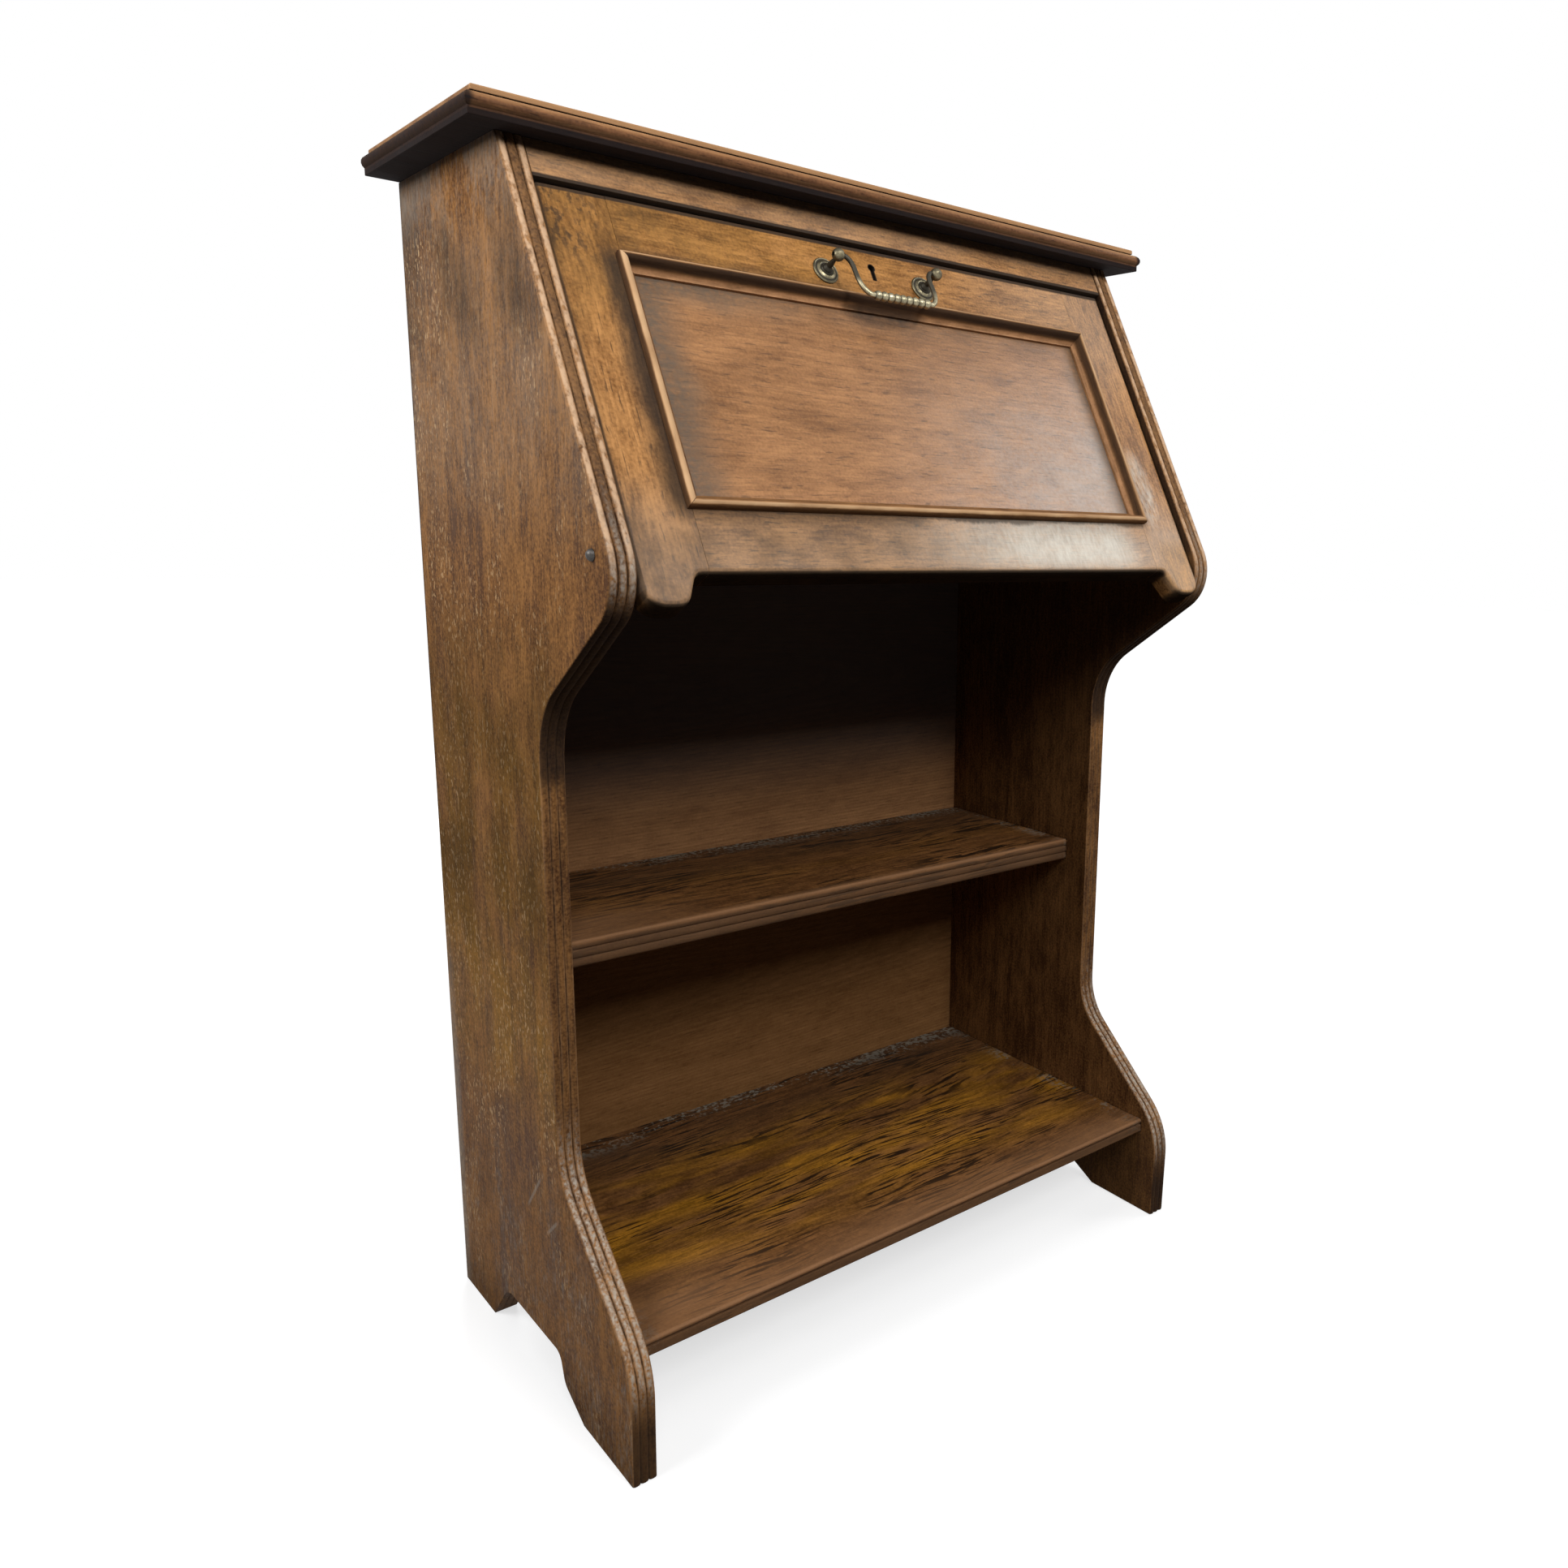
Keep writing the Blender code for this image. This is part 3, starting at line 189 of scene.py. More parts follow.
class Surface(Graph):
    """The node tree of one material, with the coordinates of the piece that wears it."""

    def __init__(self, name: str) -> None:
        """Makes the material, empty.

        Args:
            name: The material's name.
        """
        self.material = bpy.data.materials.new(name)
        self.material.use_nodes = True
        super().__init__(self.material.node_tree)
        self.tree.nodes.clear()

    @cached_property
    def place(self) -> Value:
        """The point of the bureau, in metres."""
        return self.node("ShaderNodeTexCoord", out="Object")

    @cached_property
    def facing(self) -> Value:
        """The direction that the surface faces."""
        return self.node("ShaderNodeTexCoord", out="Normal")

    @cached_property
    def xyz(self) -> tuple[Value, ...]:
        """The point's three parts."""
        return self.split(self.place)

    @cached_property
    def on_fall(self) -> tuple[Value, ...]:
        """The point measured from the fall's pivot: across, up the slope and out of it."""
        return self.split(self.laid(Lie.FALL_RAIL, PIVOT))

    def laid(self, lie: Lie, centre: Vector) -> Value:
        """The point measured along, across and through a board.

        Args:
            lie: How the board's grain lies.
            centre: The point that is measured from.

        Returns:
            The three measures as one vector.
        """
        turn = Matrix(lie.value)
        shift = -(turn @ centre)
        sockets = {"Vector": self.place, "Location": tuple(shift), "Rotation": tuple(turn.to_euler())}
        return self.node("ShaderNodeMapping", {"vector_type": "POINT"}, sockets)

    def noise(self, stretch: Triple, detail: float, seed: float, at: Value | None = None) -> Value:
        """Soft noise, from about -0.5 to 0.5.

        Args:
            stretch: How many times it changes per metre, along each axis.
            detail: How many finer layers it has.
            seed: Moves the noise to another part of its pattern.
            at: The point, where it isn't the place in the bureau.

        Returns:
            The noise.
        """
        sockets = {0: at or self.place, 1: stretch, 2: tuple(seed * step for step in SEED_STEP)}
        spread = self.node("ShaderNodeVectorMath", {"operation": "MULTIPLY_ADD"}, sockets)
        sockets = {"Vector": spread, "Scale": 1.0, "Detail": detail}
        return self.node("ShaderNodeTexNoise", sockets=sockets) - 0.5

    def bumped(self, height: Value, strength: float, distance: float) -> Value:
        """The surface's normal with a relief, whose height of 1 stands for the distance in metres."""
        sockets = {"Strength": strength, "Distance": distance, "Height": height}
        return self.node("ShaderNodeBump", sockets=sockets)

    def finished(self, sockets: dict) -> Material:
        """Closes the tree.

        Args:
            sockets: What goes into the shader, by its sockets' names.

        Returns:
            The material.
        """
        shader = self.node("ShaderNodeBsdfPrincipled", sockets=sockets)
        self.node("ShaderNodeOutputMaterial", sockets={"Surface": shader})
        return self.material


@dataclass
class Marks:
    """What use has left on a surface, and the painted light and shade laid over it, each a share from 0 to 1."""

    wear: Value | float = 0.0
    grime_and_shade: Value | float = 0.0
    haze_and_sheen: Value | float = 0.0
    fleck_and_sheen: Value | float = 0.0
    tint: Value | float = 0.0


Marker = Callable[[Surface], Marks]


@dataclass(frozen=True)
class Board:
    """One wooden piece: its node, its grain and the place of its growth rings.

    The heart is the middle of the rings, measured across and through the board from its own middle.
    """

    node: str
    lie: Lie
    seed: float
    heart: tuple[float, float] = (0.01, 0.06)


@dataclass(frozen=True)
class OakFinish:
    """Stained oak: growth rings, fibre, pores and what wear and dirt make of them, with painted light and shade
    over them.
    """

    light: Colour
    dark: Colour
    pore: Colour = (0.03, 0.014, 0.006)
    worn: Colour = (0.42, 0.25, 0.12)
    grime_and_shade: Colour = (0.02, 0.017, 0.015)
    haze_and_sheen: Colour = (0.36, 0.31, 0.26)
    fleck_and_sheen: Colour = (0.36, 0.21, 0.1)
    tint: Colour = (0.27, 0.15, 0.045)
    tint_range: Ramp = (0.6, 1.4)
    ring_pitch: float = 0.0034
    ring_taper: float = 0.045
    ring_shade: float = 0.35
    ring_wander: float = 0.012
    ring_wobble: float = 0.0016
    early_wood: Ramp = (0.62, 0.04)
    grain_wave: float = 0.03
    fibre: float = 0.6
    streak: float = 0.7
    dash: float = 1.5
    blotch: float = 1.3
    mottle: float = 0.9
    grit: float = 0.5
    figure: float = 0.0
    pores: float = 0.45
    arris: float = 0.35
    arris_turn: Ramp = (0.985, 0.84)
    roughness: float = 0.55
    specular: float = 0.2
    relief: float = 0.25
    relief_depth: float = 0.0005

    def material(self, board: Board, marker: Marker | None = None, note: str = "") -> Material:
        """The finish on one board.

        Args:
            board: The board.
            marker: Gives the marks that its place in the bureau has left on it, and the painted light and shade
                there.
            note: What the material's name says after the board's.

        Returns:
            The material.
        """
        surface = Surface(f"oak_{board.node}{note}")
        low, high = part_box(board.node)
        grain = surface.laid(board.lie, (low + high) / 2)
        along, across, through = surface.split(grain)
        mottle = surface.noise((6.0, 13.0, 13.0), 3.0, board.seed + 23, grain)
        wander = surface.noise((2.6, 9.0, 9.0), 2.0, board.seed + 37, grain)
        bend = surface.node("ShaderNodeCombineXYZ", sockets={1: wander * self.grain_wave})
        grain = surface.node("ShaderNodeVectorMath", {"operation": "ADD"}, {0: grain, 1: bend})
        fibre = surface.noise((16.0, 620.0, 620.0), 3.0, board.seed, grain)
        streak = surface.noise((3.2, 105.0, 105.0), 5.0, board.seed + 11, grain)
        dash = surface.noise((60.0, 290.0, 290.0), 3.0, board.seed + 41, grain)
        blotch = surface.noise((24.0, 46.0, 46.0), 4.0, board.seed + 43, grain)
        grit = surface.noise((430.0, 430.0, 430.0), 1.0, board.seed + 47, grain)

        sideways = across - board.heart[0] + wander * self.ring_wander
        inwards = through + board.heart[1] + along * self.ring_taper
        radius = (sideways ** 2.0 + inwards ** 2.0) ** 0.5
        radius = radius + wander * self.ring_wander + streak * self.ring_wobble
        early = (radius / self.ring_pitch).fraction().smooth(*self.early_wood)
        pore = surface.noise((80.0, 560.0, 560.0), 1.0, board.seed + 51, grain).smooth(0.08, 0.19)

        tone = streak * self.streak + dash * self.dash + blotch * self.blotch + mottle * self.mottle
        tone = tone + fibre * self.fibre + grit * self.grit + 0.5
        colour = surface.mix(tone, self.dark, self.light)
        colour = surface.mix(early * self.ring_shade * (dash * 2.0 + 0.9), colour, self.dark)
        colour = surface.mix(pore * (early * 0.6 + 0.4) * self.pores, colour, self.pore)
        marks = marker(surface) if marker else Marks()
        worn = self.worn_share(surface, board, marks, fibre, mottle)
        gilt = (tuple(part * depth for part in self.tint) for depth in self.tint_range)
        colour = surface.mix(marks.tint, colour, surface.mix(tone, *gilt))
        if self.figure:
            curl = surface.noise((21.0, 330.0, 330.0), 4.0, board.seed + 71, grain)
            flock = (mottle * 1.6 + blotch * 0.7).smooth(-0.2, 0.1)
            colour = surface.mix(curl.smooth(0.025, 0.06) * flock * self.figure, colour, self.pore)
        # Specks, film, wear and dirt, which also carry painted sheen, painted highlights and painted shade
        shares = (marks.fleck_and_sheen, marks.haze_and_sheen, worn, marks.grime_and_shade)
        for share, layer in zip(shares, (self.fleck_and_sheen, self.haze_and_sheen, self.worn, self.grime_and_shade)):
            colour = surface.mix(share, colour, layer)
        rough = streak * 0.18 + mottle * 0.25 + self.roughness + worn * 0.12 + marks.grime_and_shade * 0.45
        relief = surface.bumped(fibre * 0.6 - pore * 0.8 - early * 0.2, self.relief, self.relief_depth)
        return surface.finished({
            "Base Color": colour, "Roughness": rough, "Normal": relief, "Specular IOR Level": self.specular,
        })

    def worn_share(self, surface: Surface, board: Board, marks: Marks, fibre: Value, mottle: Value) -> Value:
        """How far the finish is rubbed away, on the rounded arrises and where use has worn it.

        Args:
            surface: The material's tree.
            board: The board.
            marks: The marks of its place in the bureau.
            fibre: Fine noise along the grain.
            mottle: Broad noise.

        Returns:
            The share, from 0 to 1.
        """
        sockets = {"Vector": surface.facing, "Rotation": tuple(Matrix(board.lie.value).to_euler())}
        turned = surface.split(surface.node("ShaderNodeMapping", {"vector_type": "VECTOR"}, sockets))
        flat = abs(turned[0]).most(abs(turned[1]), abs(turned[2]))
        arris = flat.smooth(*self.arris_turn) * (mottle * 1.4 + fibre + 0.8).smooth(0.35, 1.05)
        return (arris * self.arris).most(marks.wear)


@dataclass(frozen=True)
class MetalFinish:
    """Old metal with patina in its hollows and bright rubbed places."""

    bright: Colour
    patina: Colour
    roughness: float = 0.38
    metallic: float = 1.0
    patina_share: float = 0.35
    relief: float = 0.2
    relief_depth: float = 0.0003

    def material(self, name: str, hollow: Callable[[Surface], Value] | None = None) -> Material:
        """The finish on one fitting.

        Args:
            name: The material's name.
            hollow: Gives the share of the hollows, where the patina stays.

        Returns:
            The material.
        """
        surface = Surface(name)
        cloud = surface.noise((220.0, 220.0, 220.0), 3.0, 0.0)
        fine = surface.noise((1900.0, 1900.0, 1900.0), 2.0, 5.0)
        share = (cloud * 1.1 + fine * 0.7 + self.patina_share).most(hollow(surface) if hollow else 0.0)
        return surface.finished({
            "Base Color": surface.mix(share, self.bright, self.patina),
            "Roughness": share.least(1.0).most(0.0) * 0.3 + fine * 0.12 + self.roughness,
            "Normal": surface.bumped(cloud * 0.7 + fine * 0.4, self.relief, self.relief_depth),
            "Metallic": self.metallic - share.smooth(0.55, 1.0) * 0.35,
        })


# The finishes of the bureau's timber and metal
# SIDE_OAK's pale film colour also paints the side's sheen
SIDE_OAK = OakFinish(
    light=(0.315, 0.146, 0.046), dark=(0.076, 0.029, 0.009), worn=(0.56, 0.37, 0.23),
    grime_and_shade=(0.016, 0.011, 0.009), haze_and_sheen=(0.37, 0.325, 0.27), fleck_and_sheen=(0.55, 0.36, 0.185),
    tint=(0.25, 0.122, 0.024), roughness=0.62, specular=0.06, ring_shade=0.15, streak=1.1, dash=1.2,
    blotch=1.2, mottle=1.4, grit=1.6, arris=0.15,
)
# TOP_OAK's near-black dirt colour also paints the shade under the top
TOP_OAK = OakFinish(
    light=(0.25, 0.110, 0.044), dark=(0.09, 0.036, 0.014), worn=(0.42, 0.23, 0.105),
    grime_and_shade=(0.008, 0.007, 0.008), arris=0.4, specular=0.08, roughness=0.45, streak=1.1, blotch=0.6,
    mottle=0.5, grit=0.9, pores=0.75,
)
# FALL_OAK's pale grey film colour also paints the fall's sheen and highlight
FALL_OAK = OakFinish(
    light=(0.46, 0.220, 0.072), dark=(0.155, 0.062, 0.014), worn=(0.54, 0.31, 0.15),
    grime_and_shade=(0.024, 0.018, 0.014), haze_and_sheen=(0.62, 0.58, 0.50), tint=(0.36, 0.162, 0.024), arris=0.2,
    roughness=0.42, specular=0.14, ring_shade=0.2, pores=0.65, blotch=1.6, grit=1.1,
)
# PANEL_OAK's pale grey speck colour is the colour of the panel's painted sheen
PANEL_OAK = OakFinish(
    light=(0.39, 0.185, 0.071), dark=(0.172, 0.074, 0.025), grime_and_shade=(0.045, 0.034, 0.027),
    haze_and_sheen=(0.10, 0.078, 0.056), fleck_and_sheen=(0.45, 0.445, 0.42), roughness=0.36, specular=0.26, ring_shade=0.3,
    ring_pitch=0.0052, pores=0.5, grit=0.9, dash=1.1,
)
MOULDING_OAK = OakFinish(
    light=(0.33, 0.158, 0.058), dark=(0.15, 0.064, 0.021), worn=(0.55, 0.35, 0.19),
    grime_and_shade=(0.018, 0.011, 0.008), tint=(0.38, 0.195, 0.092), arris=0.0, roughness=0.45, specular=0.08,
)
SHELF_OAK = OakFinish(
    light=(0.185, 0.080, 0.026), dark=(0.062, 0.025, 0.008), pore=(0.012, 0.006, 0.003),
    worn=(0.25, 0.128, 0.062), grime_and_shade=(0.022, 0.016, 0.012), fleck_and_sheen=(0.30, 0.27, 0.215),
    tint=(0.295, 0.128, 0.010), ring_shade=0.3, grit=1.0, ring_pitch=0.007, ring_wander=0.03, streak=1.0,
    figure=0.95, grain_wave=0.08, roughness=0.55, specular=0.05,
)
BACK_OAK = OakFinish(
    light=(0.30, 0.151, 0.064), dark=(0.134, 0.062, 0.026), worn=(0.24, 0.13, 0.06), arris=0.2,
    roughness=0.65, specular=0.05, pores=0.3, dash=0.8, blotch=0.6,
)
# A darker copy of the back's oak as painted shade for the lower board, and a lighter copy as painted light for the
# middle board, which gets painted shade towards its top
LOW_BACK_OAK = replace(BACK_OAK, light=(0.22, 0.107, 0.040), dark=(0.099, 0.044, 0.014))
BAY_OAK = replace(
    BACK_OAK, light=(0.33, 0.166, 0.070), dark=(0.147, 0.068, 0.029), grime_and_shade=(0.085, 0.09, 0.095),
)
BRASS = MetalFinish(
    bright=(0.36, 0.31, 0.19), patina=(0.014, 0.011, 0.007), roughness=0.24, patina_share=0.66,
)
RUBBED_BRASS = replace(BRASS, bright=(0.52, 0.46, 0.30), patina_share=0.5)
IRON = MetalFinish(
    bright=(0.12, 0.112, 0.105), patina=(0.018, 0.016, 0.014), roughness=0.3, patina_share=0.62,
)


def span(node: str, direction: Triple) -> tuple[float, float]:
    """The least and the greatest reach of a node along a unit direction, measured from the fall's pivot."""
    measures = [Vector(direction).dot(corner.co - PIVOT) for corner in frame["nodes"][node].data.vertices]
    return min(measures), max(measures)


def plain(piece: Object) -> Object:
    """Turns an object's modifiers into its mesh.

    Args:
        piece: The object.

    Returns:
        The same object, with no modifiers.
    """
    bpy.context.view_layer.update()
    evaluated = piece.evaluated_get(bpy.context.evaluated_depsgraph_get())
    mesh = bpy.data.meshes.new_from_object(evaluated)
    piece.modifiers.clear()
    piece.data = mesh
    mesh.name = piece.name
    return piece


def new_object(name: str, data: ID) -> Object:
    """Puts an object into the scene, at the origin.

    Args:
        name: Its name.
        data: Its mesh, light or camera.

    Returns:
        The object.
    """
    made = bpy.data.objects.new(name, data)
    bpy.context.scene.collection.objects.link(made)
    return made


class GeometryTree(Graph):
    """A geometry node tree with named sizes, which ends in realised instances and one material."""

    def __init__(self, name: str) -> None:
        """Makes the tree with its geometry input and output.

        Args:
            name: The tree's name.
        """
        super().__init__(bpy.data.node_groups.new(name, "GeometryNodeTree"))
        self.sizes: dict[str, float] = {}
        for way in ("INPUT", "OUTPUT"):
            self.tree.interface.new_socket("Geometry", in_out=way, socket_type="NodeSocketGeometry")
        self.inputs = self.tree.nodes.new("NodeGroupInput")
        self.geometry = Value(self, self.inputs.outputs[0])

    def size(self, name: str, value: float) -> Value:
        """Adds a named input.

        Args:
            name: The input's name.
            value: Its size in metres, or its count.

        Returns:
            The input's socket.
        """
        made = self.tree.interface.new_socket(name, in_out="INPUT", socket_type="NodeSocketFloat")
        self.sizes[made.identifier] = value
        return Value(self, self.inputs.outputs[name])

    def scatter(self, low: float, high: float, seed: int) -> Value:
        """A random number for each point, the same on each run."""
        return self.node("FunctionNodeRandomValue", {"data_type": "FLOAT"}, {2: low, 3: high, 8: seed}, 1)

    def apply(self, piece: Object, geometry: Value, material: Material) -> None:
        """Ends the tree with realised instances, runs it on an object and keeps the result as its mesh.

        Args:
            piece: The object, whose mesh is the tree's input.
            geometry: What the tree has made.
            material: Its finish.
        """
        real = self.node("GeometryNodeRealizeInstances", sockets={"Geometry": geometry})
        done = self.node("GeometryNodeSetMaterial", sockets={"Geometry": real, "Material": material})
        self.node("NodeGroupOutput", sockets={0: done})
        modifier = piece.modifiers.new("tree", "NODES")
        modifier.node_group = self.tree
        for identifier, value in self.sizes.items():
            modifier[identifier] = value
        plain(piece)


@dataclass
class SubAssembly:
    """What every part of the bureau can do: dress its solids."""

    round_over: float = 0.0006
    round_steps: int = 2
    sharp_angle: float = math.radians(38.0)
    flat_angle: float = math.radians(0.6)
    merge_digits: int = 6

    def joined_mesh(self, node: str, name: str) -> Mesh:
        """A solid's loose triangles joined up, with its sharp outer edges marked for rounding.

        Args:
            node: The solid.
            name: The new mesh's name.

        Returns:
            The mesh.
        """
        source = frame["nodes"][node].data
        corners: dict[Triple, int] = {}
        faces = []
        for polygon in source.polygons:
            places = [source.vertices[i].co for i in polygon.vertices]
            places = [tuple(round(part, self.merge_digits) for part in place) for place in places]
            faces.append([corners.setdefault(place, len(corners)) for place in places])
        mesh = bpy.data.meshes.new(name)
        mesh.from_pydata(list(corners), [], faces)
        work = bmesh.new()
        work.from_mesh(mesh)
        bmesh.ops.dissolve_limit(work, angle_limit=self.flat_angle, verts=work.verts, edges=work.edges)
        weight = work.edges.layers.float.new("bevel_weight_edge")
        for edge in work.edges:
            if edge.is_convex and edge.calc_face_angle(0.0) > self.sharp_angle:
                edge[weight] = 1.0
        work.to_mesh(mesh)
        work.free()
        return mesh

    def dress(self, node: str, material: Material, prefix: str, round_over: float | None = None) -> Object:
        """Stands a smooth, finished copy in the place of a solid.

        Args:
            node: The solid.
            material: Its finish.
            prefix: What the piece is made of, for its name.
            round_over: The radius of its worn arrises, where it isn't the usual one.

        Returns:
            The piece.
        """
        name = f"{prefix}_{node}"
        piece = new_object(name, self.joined_mesh(node, name))
        radius = self.round_over if round_over is None else round_over
        if radius:
            bevel = piece.modifiers.new("round_over", "BEVEL")
            bevel.width = radius
            bevel.segments = self.round_steps
            bevel.limit_method = "WEIGHT"
            bevel.use_clamp_overlap = True
            plain(piece)
        piece.data.shade_smooth()
        piece.data.set_sharp_from_angle(angle=self.sharp_angle)
        even = piece.modifiers.new("even_faces", "WEIGHTED_NORMAL")
        even.keep_sharp = True
        plain(piece)
        piece.data.materials.clear()
        piece.data.materials.append(material)
        self.register(piece, BODY_OF[node], SLOT_OF[node])
        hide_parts(node)
        return piece

    def register(self, piece: Object, body: str, slot: str) -> None:
        """Lets a piece ride on a body and reports it.

        Args:
            piece: The piece.
            body: The body that carries it.
            slot: The record's slot of its finish; not used.
        """
        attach(piece, body)
        LOG.info("%s rides on %s with %d faces", piece.name, body, len(piece.data.polygons))


@dataclass
class Sides(SubAssembly):
    """The two shaped sides with their reeded front edges, and the heights of the marks on them."""

    boards: tuple[Board, ...] = (
        Board("left_side", Lie.SIDE, 3.0, (-0.07, 0.05)), Board("right_side", Lie.SIDE, 8.0, (0.05, 0.05)),
    )
    reeds: int = 3
    skin: float = 0.0011
    knee: Zone = (0.69, 0.715, 0.748, 0.80)
    splay: Zone = (0.05, 0.10, 0.20, 0.29)
    undercut: Zone = (0.53, 0.565, 0.688, 0.722)
    waist: Zone = (0.18, 0.30, 0.50, 0.60)
    golden: Zone = (0.22, 0.31, 0.54, 0.70)
    specked: Zone = (0.20, 0.36, 0.50, 0.75)
    upper: Zone = (0.70, 0.84, 0.95, 1.0)
    smudged_and_shaded: Zone = (0.86, 0.92, 0.98, 1.04)
    dusky: Zone = (0.30, 0.47, 0.60, 0.72)
    scuffed: Zone = (0.87, 0.92, 0.98, 1.01)
    toe: Ramp = (0.10, 0.04)
    # Heights over which the painted shade on the inner face deepens
    painted_gloom: Ramp = (0.42, 0.68)
    scratches: tuple[tuple[Ramp, Ramp], ...] = (
        ((-0.015, 0.203), (0.022, 0.158)), ((-0.048, 0.176), (-0.018, 0.149)),
    )
    scratch_edge: Ramp = (0.0024, 0.0006)
    scratch_tail: float = 0.012

    def build(self) -> None:
        """Dresses both sides."""
        for board in self.boards:
            self.dress(board.node, SIDE_OAK.material(board, self.marks), "oak")

    def marks(self, surface: Surface) -> Marks:
        """Reeds worn pale, dirt between them, specks, scratches, a dull film at the top that is partly a painted
        sheen, a darker band under the top that is partly painted shade, and painted shade under the knee, beside
        the fall and on the inner face.

        Args:
            surface: The material's tree.

        Returns:
            The marks.
        """
        low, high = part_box("right_side")
        across, depth, height = surface.xyz
        share = (abs(across) - low.x) / (high.x - low.x)
        skin = self.skin / (high.x - low.x)
        rough = surface.noise((260.0, 260.0, 90.0), 3.0, 4.0)
        broad = surface.noise((40.0, 40.0, 14.0), 2.0, 9.0)
        cloud = surface.noise((17.0, 17.0, 9.0), 3.0, 12.0)

        # The reeded front edge
        front = depth.smooth(high.y - 0.05, high.y - 0.12) * share.band(0.0, skin, 1.0 - skin, 1.0)
        reed = abs((share * self.reeds).fraction() - 0.5) * 2.0
        inner, outer = share.smooth(0.36, 0.31), share.smooth(0.64, 0.69)
        crest = reed.smooth(0.9, 0.3) * front
        slope = height.smooth(*self.knee[1:3])
        rubbed = (rough * 2.0 + broad + 0.75).smooth(0.2, 0.95)
        wear = crest * (inner * 0.75 + outer * 0.85 + 0.1) * (slope * 0.95 + 0.02) * rubbed
        bare = crest * (height.band(*self.knee) * 0.7 + height.band(*self.splay))
        bare = bare * (surface.noise((430.0, 430.0, 300.0), 3.0, 21.0) * 3.2 + broad * 1.6 + 0.45)
        valley = reed.smooth(0.6, 0.98) * front * (rough * 1.8 + broad + 0.55)
        middle = (1.0 - inner) * (1.0 - outer) * slope * front * 0.4
        # Painted shade on the reeds of the undercut below the knee, which face down
        shade = height.band(*self.undercut) * front * 0.85
        waist = height.band(*self.waist) * front * 0.35
        toe = height.smooth(*self.toe) * front * depth.smooth(-0.10, -0.15) * 0.8

        # The inner face, painted with shade beside the fall and all over, more towards the top, and the rear edge
        inside = share.smooth(skin, 0.0)
        # Painted shade on the inner face beside the fall, and over the whole inner face, more towards the top
        shade_beside_fall = inside * surface.on_fall[2].smooth(0.0, 0.008) * slope * 0.85
        painted_gloom = inside * (height.smooth(*self.painted_gloom) * 0.38 + 0.24)
        rim = depth.smooth(high.y - 0.004, high.y - 0.001) * height.smooth(0.3, 0.5) * 0.7

        # The outer face
        face = share.smooth(1.0 - skin, 1.0)
        speck = surface.noise((290.0, 290.0, 150.0), 2.0, 2.0).smooth(0.085, 0.14)
        often = height.band(*self.specked) * 0.2 + depth * 0.9 + 0.27
        cluster = (cloud * 2.2 + broad * 1.4 + often).smooth(0.1, 0.75) * height.smooth(1.0, 0.85)
        cluster = cluster.most(height.band(*self.scuffed) * depth.smooth(0.04, 0.14) * (broad * 3.0 + 1.0))
        # A dull grey film at the very top that is partly a painted sheen, and below it a band of painted sheen
        film = height.smooth(0.92, 1.03) * (rough + cloud * 1.5 + 0.26)
        film = film.most(height.band(*self.upper) * (cloud * 0.3 + rough * 0.4 + 0.15))
        heel = depth.smooth(high.y - 0.022, high.y - 0.004) * height.smooth(0.45, 0.2) * (rough + 0.45)
        dull = film.most(heel, height.smooth(0.28, 0.06) * (rough * 1.4 + cloud * 0.8)) * face
        scored = self.scored(depth, height) * face * 0.45
        # A darker cloudy band just under the top board, partly a smear and partly painted shade of the top's
        # overhang
        smudge_and_shade = height.band(*self.smudged_and_shaded) * (cloud * 2.2 + 0.4).smooth(0.0, 0.9) * face * 0.6
        dusk = height.band(*self.dusky) * (cloud * 2.0 + 0.6).smooth(0.0, 1.0) * face * 0.6
        floor_dirt = height.smooth(0.07, 0.0) * face * 0.35
        gold = height.band(*self.golden) * (cloud * 2.6 + broad * 1.4 + 0.55).most(0.0).least(0.9) * face
        return Marks(
            wear=wear.most(0.0), haze_and_sheen=dull.most(bare, scored, 0.0), tint=gold.most(0.0),
            grime_and_shade=valley.most(middle, shade, waist, toe, shade_beside_fall, rim, floor_dirt, smudge_and_shade, dusk, painted_gloom),
            fleck_and_sheen=speck * cluster * face * 0.75,
        )

    def scored(self, depth: Value, height: Value) -> Value:
        """Pale scratches near the foot.

        Args:
            depth: The point's place from front to back.
            height: Its height.

        Returns:
            The share, from 0 to 1.
        """
        lines = []
        for (y, z), (far_y, far_z) in self.scratches:
            length = math.hypot(far_y - y, far_z - z)
            way = ((far_y - y) / length, (far_z - z) / length)
            along = (depth - y) * way[0] + (height - z) * way[1]
            aside = abs((depth - y) * way[1] - (height - z) * way[0])
            ends = along.band(0.0, self.scratch_tail, length - self.scratch_tail, length)
            lines.append(aside.smooth(*self.scratch_edge) * ends)
        return lines[0].most(*lines[1:])


